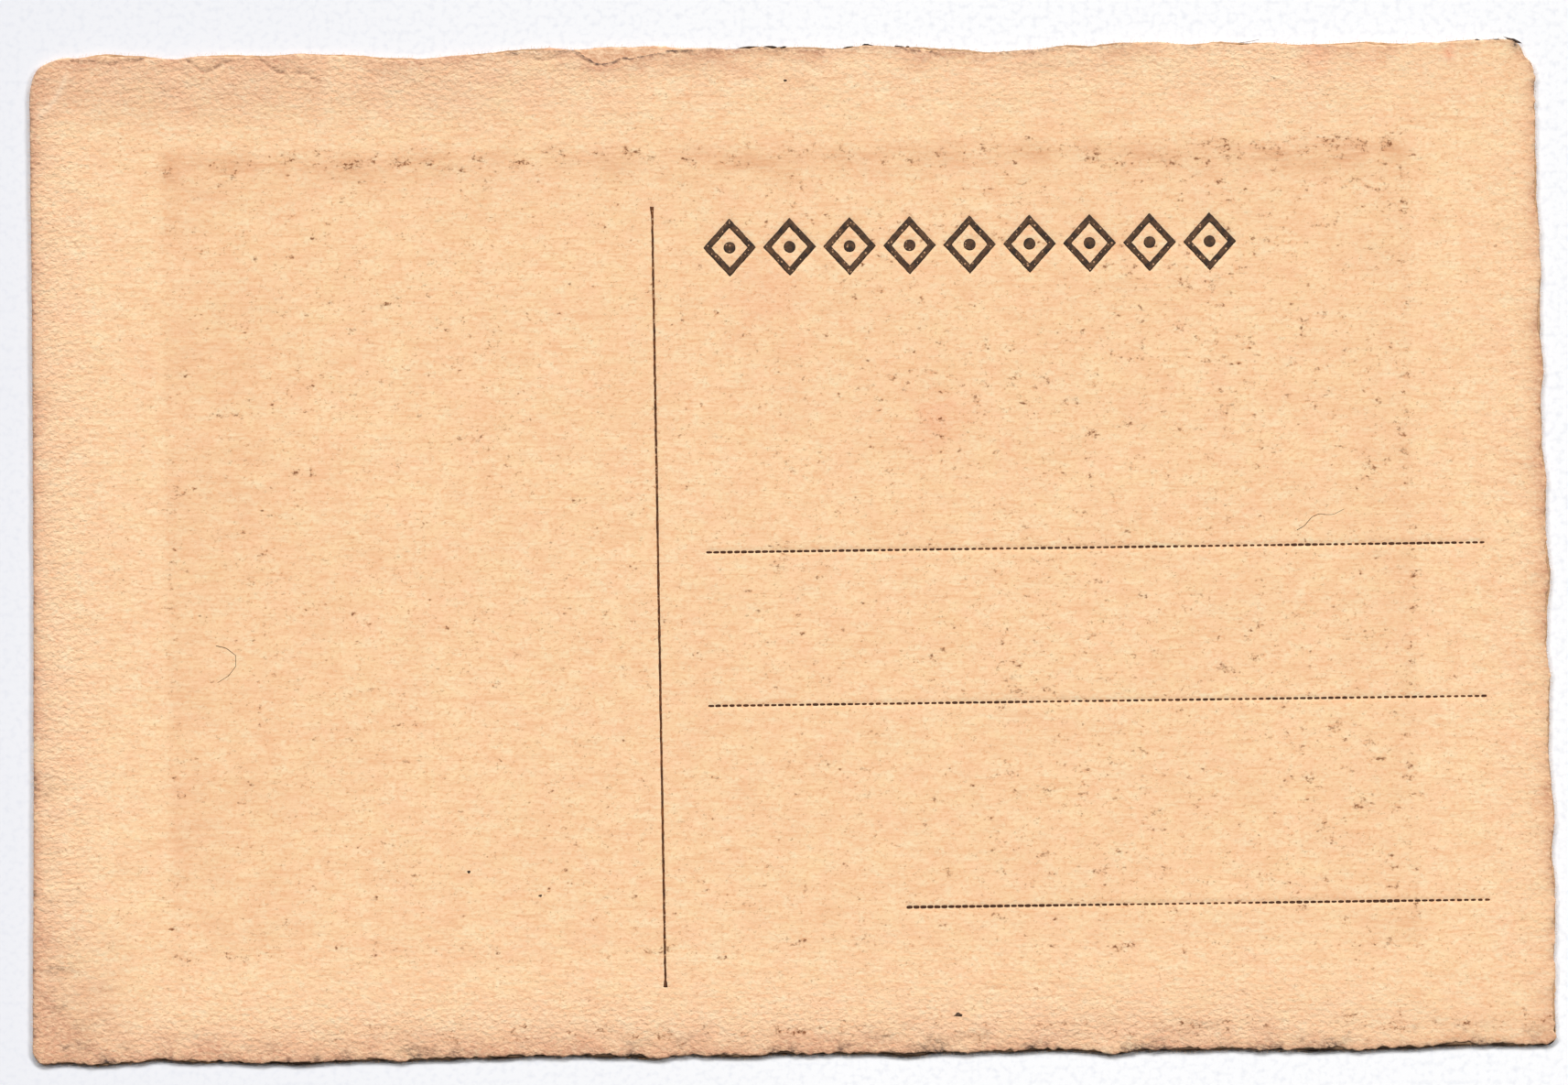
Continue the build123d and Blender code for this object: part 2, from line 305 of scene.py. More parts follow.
def face_loops(node, level):
    """Closed outlines in mm of a node's flat face, longest first and counter-clockwise from above."""
    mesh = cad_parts[node].data
    mesh.calc_loop_triangles()
    places = np.empty(len(mesh.vertices) * 3, np.float32)
    mesh.vertices.foreach_get("co", places)
    corners = np.empty(len(mesh.loop_triangles) * 3, np.int32)
    mesh.loop_triangles.foreach_get("vertices", corners)
    spots, merged = np.unique((places.reshape(-1, 3) / MM).round(4), axis=0, return_inverse=True)
    triangles = merged.reshape(-1)[corners].reshape(-1, 3)
    flat = triangles[(abs(spots[triangles, 2] - level) < LEVEL_SLACK).all(1)]
    sides = {tuple(side) for pair in ((0, 1), (1, 2), (2, 0)) for side in flat[:, pair].tolist()}
    rim = {start: end for start, end in sides if (end, start) not in sides}
    loops = []
    while rim:
        first, here = rim.popitem()
        trail = [first]
        while here != first:
            trail.append(here)
            here = rim.pop(here)
        loop = spots[trail, :2]
        loops.append(loop if signed_area(loop) > 0 else loop[::-1])
    return sorted(loops, key=loop_length, reverse=True)


def even_steps(loop, step):
    """Points about one step apart along a closed loop, and how far along it each one is."""
    closed = np.vstack([loop, loop[:1]])
    run = np.concatenate([[0.0], np.cumsum(np.hypot(*np.diff(closed, axis=0).T))])
    count = max(FEWEST_STEPS, round(run[-1] / step))
    along = np.arange(count) * run[-1] / count
    return np.column_stack([np.interp(along, run, closed[:, axis]) for axis in (0, 1)]), along


def outward(ring):
    """Unit directions out of a counter-clockwise ring."""
    chord = np.roll(ring, -1, 0) - np.roll(ring, 1, 0)
    side = np.column_stack([chord[:, 1], -chord[:, 0]])
    return side / np.linalg.norm(side, axis=1)[:, None]


address_loops = face_loops("address_side_ply", ADDRESS_LEVEL)
edge_length = round(loop_length(address_loops[0]), 1)
print("address face:", len(address_loops), "outlines, edge", edge_length, "mm long")

# %% [markdown]
# ## Grain
# Paper is noise at several sizes at once. This helper lays random heights on a grid and blends smoothly
# between them, with a wave length of its own along X and along Y. Paper fibres lie mostly along X, so
# most grain here is longer that way. A fixed seed makes every run the same.

# %% Grain
GRAIN_CELLS = 512


def grain(places, wave, seed):
    """Smooth noise from -1 to 1 at flat places in mm."""
    table = np.random.default_rng(seed).uniform(-1, 1, (GRAIN_CELLS, GRAIN_CELLS))
    spots = np.asarray(places) / wave
    cell = np.floor(spots).astype(int)
    ease = spots - cell
    ease = ease * ease * (3 - 2 * ease)
    total = 0.0
    for right in (0, 1):
        for up in (0, 1):
            corner = table[(cell[:, 0] + right) % GRAIN_CELLS, (cell[:, 1] + up) % GRAIN_CELLS]
            across = ease[:, 0] if right else 1 - ease[:, 0]
            total = total + corner * across * (ease[:, 1] if up else 1 - ease[:, 1])
    return total


def grains(places, sizes, seed):
    """Noise of several sizes, each with its share and its wave."""
    return sum(share * grain(places, wave, seed + step) for step, (share, wave) in enumerate(sizes))


def turned(places, degrees):
    """Places seen along axes that are turned by some degrees."""
    angle = math.radians(degrees)
    cos, sin = math.cos(angle), math.sin(angle)
    return places @ np.array([[cos, -sin], [sin, cos]])


def smooth(value, low, high):
    """0 below low, 1 above high, and an eased ramp between."""
    share = np.clip((value - low) / (high - low), 0, 1)
    return share * share * (3 - 2 * share)


def near(value, width):
    """1 at an edge, easing to 0 at some width from it."""
    return 1 - smooth(value, 0.0, width)


def hump(value, width):
    """1 at zero, and falling off on both sides like a bell."""
    return np.exp(-(value / width) ** 2)


print("grain repeats after", GRAIN_CELLS, "waves")

# %% [markdown]
# ## How far from the print, the edge and the creases
# The heights and masks of the paper depend on three distances: to the printed type, which dents it, to
# the torn edge, where it feathers out, and to the creases near the head. Distances to type and creases
# are measured to line segments. The edge has thousands of points, so a k-d tree finds the nearest one
# quickly.

# %% Distances
PRINT_NODES = (
    "divider_rule",
    "upper_address_line",
    "middle_address_line",
    "lower_address_line",
    "headpiece_lozenges",
    "headpiece_dots",
)
PRINT_REACH = 0.5
print_loops = {node: face_loops(node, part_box(node)[1].z / MM) for node in PRINT_NODES}
all_print_loops = [loop for loops in print_loops.values() for loop in loops]


def segment_distance(places, start, end):
    side = end - start
    along = np.clip((places - start) @ side / max(side @ side, 1e-12), 0, 1)
    return np.hypot(*(places - start - along[:, None] * side).T)


def print_distance(places):
    """Distance in mm to the nearest printed outline, negative on the print, and at most its reach."""
    nearest = np.full(len(places), PRINT_REACH)
    inked = np.zeros(len(places), bool)
    for loop in all_print_loops:
        low, high = loop.min(0) - PRINT_REACH, loop.max(0) + PRINT_REACH
        close = np.flatnonzero(((places > low) & (places < high)).all(1))
        spots = places[close]
        for start, end in zip(loop, np.roll(loop, -1, 0)):
            nearest[close] = np.minimum(nearest[close], segment_distance(spots, start, end))
            rise = end[1] - start[1]
            if rise:
                crosses = (start[1] > spots[:, 1]) != (end[1] > spots[:, 1])
                cut = start[0] + (spots[:, 1] - start[1]) * (end[0] - start[0]) / rise
                inked[close] ^= crosses & (spots[:, 0] < cut)
    return np.where(inked, -nearest, nearest)


def edge_distance(places, ring):
    """Distance in mm from places to a ring, positive inside it."""
    tree = KDTree(len(ring))
    for index, place in enumerate(ring):
        tree.insert((*place, 0.0), index)
    tree.balance()
    found = [tree.find((*place, 0.0)) for place in places.tolist()]
    index = np.array([hit[1] for hit in found])
    away = places - ring[index]
    inward = -(away * outward(ring)[index]).sum(1)
    return np.array([hit[2] for hit in found]) * np.where(inward < 0, -1, 1)


def line_distance(places, points):
    points = np.array(points)
    return np.min([segment_distance(places, *pair) for pair in zip(points[:-1], points[1:])], axis=0)


print("printed outlines:", len(all_print_loops))

# %% [markdown]
# ## Creases
# The head of the card has been split and pressed flat again, which left short creases close to the torn
# edge, and one corner has been folded. They are drawn here as short open lines, listed one by one, because
# later cells need them three times: to place mesh points beside them, to sink them into the paper and to
# darken them with painted shade.

# %% Creases
HEAD_CREASES = (
    ((-65.6, 46.15), (-64.0, 46.0), (-62.3, 45.85), (-60.8, 46.0), (-59.6, 46.1), (-58.7, 46.4)),
    ((-55.1, 46.3), (-54.3, 45.6), (-53.6, 45.0), (-52.8, 45.2), (-52.0, 45.7), (-50.9, 46.0)),
    ((-48.2, 46.1), (-47.3, 45.4), (-46.7, 45.0), (-46.0, 44.9)),
    ((-44.8, 44.9), (-44.3, 44.8), (-43.8, 44.75)),
    ((-43.6, 44.4), (-43.1, 44.2), (-42.7, 43.95)),
    ((-22.7, 45.8), (-21.6, 45.8), (-20.5, 46.2)),
    ((-19.0, 46.4), (-18.1, 45.5), (-16.7, 45.2), (-15.4, 45.5), (-13.9, 45.9), (-12.3, 46.2)),
    ((-11.7, 46.7), (-10.6, 46.7), (-9.8, 46.3), (-8.3, 46.3)),
    ((11.1, 46.4), (12.4, 46.0), (13.2, 46.4), (14.6, 45.6)),
)
CORNER_FOLD = ((-66.2, 44.9), (-66.7, 43.6), (-67.4, 42.4), (-68.7, 41.2))
CREASE_ROWS = (-0.32, -0.16, 0.0, 0.16, 0.32)
CREASE_STEP = 0.2


def rounded(points):
    """An open line with its corners cut off twice, which makes it look bent and not broken."""
    points = np.array(points)
    for _ in range(2):
        first, last = points[:-1], points[1:]
        cut = np.stack([0.75 * first + 0.25 * last, 0.25 * first + 0.75 * last], axis=1).reshape(-1, 2)
        points = np.vstack([points[:1], cut[1:-1], points[-1:]])
    return points


def walked(points, step):
    """Points about one step apart along an open line, how far along each is, and the way to its right."""
    run = np.concatenate([[0.0], np.cumsum(np.hypot(*np.diff(points, axis=0).T))])
    along = np.linspace(0.0, run[-1], round(run[-1] / step) + 1)
    line = np.column_stack([np.interp(along, run, points[:, axis]) for axis in (0, 1)])
    way = np.gradient(line, axis=0)
    right = np.column_stack([way[:, 1], -way[:, 0]]) / np.linalg.norm(way, axis=1)[:, None]
    return line, along, right


def crease_points(points):
    """Rows of points beside a crease, so that the mesh can follow it."""
    line, _, right = walked(points, CREASE_STEP)
    return np.vstack([line - right * gap for gap in CREASE_ROWS])


def crease_gap(places):
    return np.min([line_distance(places, points) for points in head_creases], axis=0)


head_creases = [rounded(points) for points in HEAD_CREASES]
corner_fold = rounded(CORNER_FOLD)
beside_creases = np.vstack([crease_points(points) for points in (*head_creases, corner_fold)])
print("points beside creases:", len(beside_creases))

# %% [markdown]
# ## The torn edge
# The board was torn to size, so its edge has teeth of some tenths of a millimetre. Only the left side was
# cut. A displacement texture could roughen the edge, but it would move the face as well. Here each point
# of the outline is pushed out or in by noise along its run: less at the head and the cut side, and not at
# all at sharp bends, where teeth would cross. Three rows inside it follow the teeth less and less, and
# carry the feathered lip.

# %% Torn edge
EDGE_STEP = 0.15
FRAY = 0.26
TEETH = ((0.42, 1.5), (0.36, 0.6), (0.32, 0.31))
HEAD_CALM = 0.55
LEFT_CALM = 0.8
NICKS = ((67.6, 46.2, 0.9, -0.25), (68.9, 45.0, 0.7, 0.26), (-68.7, 45.4, 1.0, -0.2))
LIP_ROWS = ((0.09, 0.8), (0.2, 0.5), (0.36, 0.2))


def straightness(ways, steps):
    """How little a ring bends between each point and those some steps away: 1 where it runs straight."""
    return np.minimum.reduce([(ways * np.roll(ways, step, 0)).sum(1) for step in steps])


def fray(ring, run, seed):
    """How far the torn teeth stand out along a ring: least on the cut side and none at sharp bends."""
    teeth = grains(np.column_stack([run, np.zeros_like(run)]), TEETH, seed)
    ways = outward(ring)
    calm = HEAD_CALM * np.maximum(ways[:, 1], 0) + LEFT_CALM * np.maximum(-ways[:, 0], 0)
    close_by = smooth(straightness(ways, (-2, -1, 1, 2)), 0.3, 0.9)
    further = smooth(straightness(ways, (-6, -4, 4, 6)), -0.3, 0.3)
    return FRAY * (1 - calm) * close_by * further * teeth


def torn_rings(ring, run, seed):
    """The torn edge itself, and the rows of points inside it that carry its feathered lip."""
    teeth = fray(ring, run, seed)
    ways = outward(ring)
    return [ring + ways * (share * teeth - inset)[:, None] for inset, share in ((0.0, 1.0), *LIP_ROWS)]


def nicked(ring):
    """The ring with its few larger nicks and bumps."""
    ways = outward(ring)
    for x, y, reach, depth in NICKS:
        away = np.hypot(*(ring - (x, y)).T)
        ring = ring - ways * (depth * hump(away, reach))[:, None]
    return ring


edge, edge_run = even_steps(address_loops[0], EDGE_STEP)
edge = nicked(edge)
torn_edge, *lip = torn_rings(edge, edge_run, seed=21)
print("torn edge:", len(torn_edge), "points")

# %% [markdown]
# ## The address facing
# The face is one fine sheet of triangles. Its points are the torn edge with the rows of its lip, two rows
# round every printed shape for the dents, and rows of bricks for the tooth of the paper, closer along Y
# than along X because the fibres are. A Delaunay fill joins them into the best triangles it can, and the
# height of each point then follows from where it is.

# %% Points of the face
BRICK = (0.72, 0.28)
BRICK_MARGIN = 0.52
BRICK_NUDGE = 0.2
DENT_ROWS = (0.03, 0.13)
DENT_STEP = 0.22
DENT_CLEAR = 0.08
FILL_SLACK = 1e-6


def bricks(low, high, step, seed):
    """Rows of staggered points, each nudged a little."""
    across, up = np.meshgrid(np.arange(low[0], high[0], step[0]), np.arange(low[1], high[1], step[1]))
    across[1::2] += step[0] / 2
    places = np.column_stack([across.ravel(), up.ravel()])
    nudge = np.random.default_rng(seed).uniform(-BRICK_NUDGE, BRICK_NUDGE, places.shape)
    return places + nudge * step


def used_only(spots, faces):
    """The points that the faces use, and the faces renumbered to match."""
    used = sorted({index for face in faces for index in face})
    renamed = {old: new for new, old in enumerate(used)}
    faces = [tuple(renamed[index] for index in face) for face in faces]
    return np.array([tuple(spots[index]) for index in used]), faces


def filled(ring, inner):
    """All points and the triangles over the inside of a ring, with the ring's own points first."""
    places = np.vstack([ring, inner])
    flat = [Vector(place) for place in places.tolist()]
    spots, _, faces, *_ = delaunay_2d_cdt(flat, [], [list(range(len(ring)))], 1, FILL_SLACK)
    if len(spots) != len(places):
        print("fill changed the points from", len(places), "to", len(spots))
    return used_only(spots, faces)


def dent_points():
    rows = []
    for loop in all_print_loops:
        around, _ = even_steps(loop, DENT_STEP)
        rows += [around + outward(around) * gap for gap in DENT_ROWS]
    return np.vstack(rows)


inner = np.vstack([bricks(card_low[:2], card_high[:2], BRICK, seed=22), beside_creases])
inner = inner[edge_distance(inner, edge) > BRICK_MARGIN]
inner = inner[print_distance(inner) > DENT_ROWS[-1] + DENT_CLEAR]
address_places, address_faces = filled(torn_edge, np.vstack([*lip, inner, dent_points()]))
print("address face:", len(address_places), "points and", len(address_faces), "triangles")

# %% [markdown]
# ## Heights of the face
# A real facing is not flat. The felt of the paper machine leaves a shallow tooth, stronger near the worn
# edges, the torn lip thins out towards the core, type has pressed its shape into the sheet, and the head
# edge has creases where the board was split. All of it is a few hundredths of a millimetre, but under a
# low lamp it is what the eye reads as paper, so it is modelled and not only painted.

# %% Heights
CREASE_WIDTH = 0.13
CREASE_DEPTH = 0.06
CREASE_LIP = 0.026
CREASE_LIP_AT = 0.36
CREASE_LIP_WIDTH = 0.2
FOLD_WIDTH = 0.28
FOLD_RISE = 0.022
LIP_PROFILE = ((-0.05, 0.085), (0.0, 0.072), (0.07, 0.036), (0.17, 0.014), (0.34, 0.004), (0.6, 0.0))
TOOTH_ROOM = 0.004
CALM_TOOTH = (0.0034, 0.0025, 0.003)
WORN_TOOTH = (0.008, 0.010, 0.011)
PRINT_CALM = 0.35
PRINT_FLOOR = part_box("divider_rule")[0].z / MM


def tooth(places, gap):
    """The felt's relief in mm: fibres along X, slanting marks and ripples, all stronger near the edge."""
    worn = 0.5 * near(gap - 0.5, 11.0) + 0.9 * near(gap - 0.3, 4.5)
    fibres = grain(turned(places, 4), (1.0, 0.55), 31) + 0.8 * grain(turned(places, -12), (0.75, 0.6), 32)
    marks = grain(turned(places, 32), (1.7, 0.8), 33)
    ripples = grain(turned(places, -24), (3.2, 1.7), 34)
    layers = zip(CALM_TOOTH, WORN_TOOTH, (fibres, marks, ripples))
    return sum((calm + rough * worn) * layer for calm, rough, layer in layers)


def address_heights(places, gap, ink_gap):
    lip = np.interp(gap, *zip(*LIP_PROFILE))
    pressed = 1 - smooth(ink_gap, *DENT_ROWS)
    relief = tooth(places, gap) * smooth(ink_gap, 0.0, PRINT_CALM)
    beside = crease_gap(places)
    crease = CREASE_DEPTH * hump(beside, CREASE_WIDTH)
    crease = crease - CREASE_LIP * hump(beside - CREASE_LIP_AT, CREASE_LIP_WIDTH)
    fold = FOLD_RISE * hump(line_distance(places, corner_fold), FOLD_WIDTH)
    depth = lip + pressed * (ADDRESS_LEVEL - TOOTH_ROOM - PRINT_FLOOR) + crease - fold
    return ADDRESS_LEVEL - TOOTH_ROOM - depth + relief


address_gap = edge_distance(address_places, torn_edge)
address_ink_gap = print_distance(address_places)
address_height = address_heights(address_places, address_gap, address_ink_gap)
print("face heights in mm:", address_height.min().round(3), "to", address_height.max().round(3))

# %% [markdown]
# ## Where the paper has browned, and shade painted into the creases
# An old card is never one colour. Its edges have browned, most of all along the foot and at two corners,
# and its creases get a brown painted shade. Such marks have places, so they are worked out here for each
# point of the face and stored on the mesh later, and the finish only colours them. In each formula the
# number in front says how strong a mark is. The last number given to near or hump is its width in
# millimetres, and the last one given to grain is a seed.

# %% Toning
card_left, card_foot = card_low[:2]
card_right, card_head = card_high[:2]


def middle_of_head(x):
    """From 0 to 1: the stretch of the head edge that was held most."""
    return near(abs(x - 3.0) - 25.0, 8.0)


def toning_mask(places, gap):
    """How brown the paper has gone, with a brown painted shade along the creases, from 0 to 1."""
    x, y = places.T
    held = middle_of_head(x)
    left, right, foot, head = x - card_left, card_right - x, y - card_foot, card_head - y
    blotches = smooth(grain(places, (3.0, 1.7), 40) + 0.6 * grain(places, (1.2, 0.8), 49), -0.5, 0.7)
    rim = 0.5 * near(gap, 1.3) + 0.6 * near(left, 1.3) + 0.5 * near(left, 3.8)
    rim += 0.55 * near(gap, 0.3) * near(left - 1.0, 2.0)
    rim -= 0.45 * near(gap, 1.3) * near(head, 2.5) * (1 - held)
    uneven_foot = 1 + 0.8 * near(x + 48.0, 16.0) - 0.85 * smooth(x, 30.0, 55.0)
    rim += (0.38 + 0.56 * blotches) * near(foot, 4.6) * uneven_foot + 0.12 * near(foot - 3.0, 5.0)
    rim += (0.16 + 0.36 * blotches + 0.24 * near(abs(y + 2.0) - 6.0, 5.0)) * near(right, 3.6)
    # painted shade: brown darkening along the creases
    crease_shade = 0.9 * smooth(grain(places, (1.0, 0.8), 57), -0.8, 0.3) * near(crease_gap(places), 0.16)
    shoulder = 0.44 * near(head - 3.6, 4.6) * near(x + 50.0, 42.0)
    brow = (0.34 + 0.66 * held) * blotches * near(head - 0.5, 3.4)
    corner = 0.6 * near(np.hypot(left, 0.62 * foot) - 2.0, 10.5)
    corner += 0.5 * near(np.hypot(right, head) - 1.2, 2.6)
    uneven = 0.85 + 0.4 * grain(places, (5.0, 3.5), 41) + 0.4 * grain(places, (1.3, 0.9), 42)
    return np.clip((rim + shoulder + brow + corner) * uneven + crease_shade, 0, 1)


address_masks = {"toning": toning_mask(address_places, address_gap)}
print("mean toning:", address_masks["toning"].mean().round(3))

# %% [markdown]
# ## Struck-through ink
# The oil of the picture's ink has soaked through the board and left a speckled ghost of the picture's
# frame. One mask says how thick the specks lie, and the other how dark the faint panel behind them is.
# Both take the place of the frame from the CAD model.

# %% Struck-through ink
PLATE_LOW, PLATE_HIGH = (np.array(corner)[:2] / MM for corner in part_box("picture_border"))
plate_left, plate_foot = PLATE_LOW
plate_right, plate_head = PLATE_HIGH


def plate_gap(places):
    """Distance in mm from the frame line of the picture, positive inside it."""
    return np.minimum(places - PLATE_LOW, PLATE_HIGH - places).min(1)


def strike_mask(places):
    """How thick the specks of struck-through ink lie, from 0 to 1."""
    x, y = places.T
    gap = plate_gap(places)
    right_of = smooth(x, -25.0, 40.0)
    wander = 0.7 * grain(places, (6.0, 9.0), 50)
    thick = 0.58 + 0.1 * right_of + 0.1 * near(x + 40.0, 14.0)
    top = hump(y - plate_head + 1.4 + wander, 1.25) * thick
    right_side = 0.6 * hump(plate_right - x - 0.6 + wander, 0.8)
    left_side = 0.48 * hump(x - plate_left - 0.8 + wander, 0.7)
    low = 0.51 * hump(y - plate_foot + 0.1 + wander, 0.9)
    framed = np.maximum.reduce([top, right_side, left_side, low]) * smooth(gap, -1.8, -0.2)
    patches = smooth(grain(places, (7.0, 5.0), 51), -0.5, 0.8)
    within = smooth(gap, 0.0, 2.0) * (0.16 + 0.1 * right_of + 0.12 * patches)
    foot = 0.56 * hump(y - card_foot - 2.6, 1.1) * smooth(x, -60.0, -40.0)
    return np.clip(np.maximum.reduce([framed, within, foot]), 0, 1)


def ghost_mask(places):
    """The faint tone of the struck-through panel, strongest along its head and left side."""
    x, y = places.T
    gap = plate_gap(places)
    panel = smooth(gap, -0.4, 0.8)
    blotches = smooth(grain(places, (2.6, 1.0), 45) + 0.7 * grain(places, (1.1, 0.7), 53), -0.6, 0.9)
    head = hump(y - plate_head + 2.1, 1.5) * (0.2 + 0.85 * blotches + 0.2 * smooth(x, 20.0, 35.0))
    side = 0.3 * near(x - plate_left, 20.0) + 0.2 * near(plate_right - x, 9.0)
    rim = 0.3 * hump(gap, 0.7) * blotches
    broken = smooth(grain(places, (4.0, 9.0), 56), -0.6, 0.2)
    line = 0.4 * broken * hump(y - plate_head + 1.3, 0.26)
    uneven = 0.75 + 0.4 * grain(places, (7.0, 4.5), 43) + 0.3 * grain(places, (2.2, 1.4), 44)
    return np.clip(panel * ((0.14 + side) * uneven + 0.7 * head + rim + line), 0, 1)


address_masks["strike"] = strike_mask(address_places)
address_masks["ghost"] = ghost_mask(address_places)
print("mean strike:", address_masks["strike"].mean().round(3))
print("mean ghost:", address_masks["ghost"].mean().round(3))

# %% [markdown]
# ## Stains, dirt, wear and painted shade
# There are a few reddish stains, grey dirt at one corner and along the rim, and paper that hands have
# roughened near the edges. A grey painted shade lies in the creases, along the edge of the flake and along
# the torn lip, most of all at the head and the top right corner. Along the torn lip at the head the paper
# gets a pale painted highlight, and the folded corner is rubbed bare and pale. Noise breaks up most of
# this, because dirt never lies evenly.

# %% Stains and wear
FLAKE_MIDDLE = -14.5
HEAD_FROM = 44.0
BLUSHES = (
    (14.1, 11.7, 1.9, 0.24),
    (-1.3, 23.6, 2.8, 0.14),
    (20.4, 9.3, 0.6, 0.16),
    (49.6, 45.4, 1.2, 0.2),
    (61.7, 45.4, 0.45, 0.5),
    (55.0, 44.9, 1.1, 0.13),
)


def blush_mask(places):
    """The reddish stains, from 0 to 1."""
    wander = 1 + 0.45 * grain(places, (0.9, 0.7), 46)
    total = np.zeros(len(places))
    for x, y, radius, strength in BLUSHES:
        away = np.hypot(places[:, 0] - x, (places[:, 1] - y) * 0.8)
        total = np.maximum(total, strength * hump(away * wander, radius))
    return total


def grime_mask(places, gap):
    """Grey dirt on the lower left corner and along the rim, and a grey painted shade in the creases, at
    the flake's edge and along the torn lip.
    """
    x, y = places.T
    left, foot = x - card_left, y - card_foot
    broken = smooth(grain(places, (1.0, 0.8), 54), -0.5, 0.6)
    # painted shade: grey darkening along the creases
    crease_shade = 0.45 * (0.4 + 0.6 * broken) * hump(crease_gap(places), 0.16)
    thumbed = 0.14 * hump(np.hypot(left - 4.5, 0.7 * (foot - 7.0)), 4.0)
    smears = smooth(grain(places, (2.2, 0.9), 47) + 0.6 * grain(places, (0.9, 0.6), 48), 0.1, 1.0)
    rim = 0.5 * near(foot - 0.5, 3.0) * smears ** 2 + 0.3 * near(gap, 0.5) * smears
    rim += 0.3 * near(left - 1.0, 5.0) * near(foot - 18.0, 20.0) * smears ** 2
    # painted shade along the torn lip, strongest at the lamp-lit head
    lip = 0.18 + 0.1 * near(left - 1.0, 2.0)
    lip += (0.1 + 0.24 * middle_of_head(x)) * near(card_head - y, 3.0)
    rim += lip * near(gap, 0.5)
    away = np.hypot(card_right - x, card_head - y)
    # dirt, and painted shade on the lit lip of the top right corner
    rim += (0.5 * smears + 0.3 * near(gap, 0.35)) * near(away - 2.0, 4.0)
    flake = near(abs(x - FLAKE_MIDDLE) - 5.5, 1.0) * smooth(y, HEAD_FROM - 1.0, HEAD_FROM)
    # painted shade along the torn edge of the flake
    rim += 0.5 * near(gap, 0.3) * flake
    return np.clip(crease_shade + thumbed * (0.3 + 1.6 * smears) + rim, 0, 1)


def worn_mask(places, gap):
    """How far handling has roughened the paper, from 0 to 1. The right side is the smoothest."""
    x, y = places.T
    pressed = 0.35 * smooth(x, -30.0, -5.0) * smooth(y, 25.0, 36.0) * near(x - 30.0, 20.0)
    kept = 1 - 0.6 * smooth(x, 40.0, 66.0) - pressed
    return kept * (0.45 * near(gap - 1.0, 18.0) + 0.55 * near(gap - 1.0, 7.0))


def lip_highlight_and_fold_mask(places, gap):
    """A pale painted highlight along the torn lip at the head, and the rubbed fold of one corner."""
    head = smooth(places[:, 1], 40.0, 44.0)
    # painted highlight: pale lip along the head edge
    lip = 0.15 * head * near(gap, 0.24) * smooth(grain(places, (1.2, 0.9), 55), -0.5, 0.6)
    lip = lip * smooth(crease_gap(places), 0.3, 0.8)
    return np.maximum(lip, 0.36 * hump(line_distance(places, corner_fold), 0.26))


address_masks["blush"] = blush_mask(address_places)
address_masks["grime"] = grime_mask(address_places, address_gap)
address_masks["bare"] = lip_highlight_and_fold_mask(address_places, address_gap)
address_masks["worn"] = worn_mask(address_places, address_gap)
print("masks of the face:", ", ".join(address_masks))

# %% [markdown]
# ## The finish of the paper
# The colour is built in layers, from large to small: clouds of yellow and pink some millimetres wide,
# soft mottles, short streaks of about half a millimetre, long thin hairlines along X, and a pepper of
# dark fibre ends. A row of the table gives the waves in millimetres, the settings of the noise, the range
# of noise that shows with its strength, and the colour. The painted masks come on top, each broken up by
# noise of its own. Bump is kept for relief that is finer than the mesh.

# %% Paper finish
WARM = srgb(255, 221, 174)
ROSY = srgb(255, 211, 170)
FIBRE_DARK = srgb(239, 181, 134)
PEPPER = srgb(166, 126, 88)
FIBRE_LIGHT = srgb(255, 233, 193)
BARE_AND_HIGHLIGHT = srgb(255, 236, 206)
HANDLED = srgb(247, 207, 184)
TONED_AND_SHADED = srgb(206, 143, 108)
STRUCK = srgb(116, 56, 16)
GHOST = srgb(224, 160, 115)
BLUSH = srgb(236, 126, 96)
GRIME_AND_SHADE = srgb(104, 86, 76)
PAPER_LAYERS = {
    "mottles": ((1.7, 1.1, 1.7), {"shift": 1}, (0.45, 0.75, 0.0, 0.3), FIBRE_DARK),
    "lights": (
        (1.1, 0.7, 1.1),
        {"detail": 3.0, "warp": 0.3, "turn": -7.0, "shift": 3},
        (0.48, 0.74, 0.0, 0.76),
        FIBRE_LIGHT,
    ),
    "streaks": (
        (0.46, 0.32, 0.46),
        {"detail": 3.0, "rough": 0.65, "warp": 0.35, "turn": 5.0, "shift": 2},
        (0.48, 0.76, 0.0, 1.0),
        FIBRE_DARK,
    ),
    "hairlines": (
        (2.8, 0.36, 2.8),
        {"detail": 3.0, "rough": 0.6, "warp": 1.0, "turn": -2.0, "shift": 9},
        (0.5, 0.76, 0.0, 0.74),
        FIBRE_DARK,
    ),
    "pepper": (
        (0.32, 0.24, 0.32),
        {"rough": 0.6, "turn": 9.0, "shift": 12},
        (0.62, 0.76, 0.0, 0.6),
        PEPPER,
    ),
}


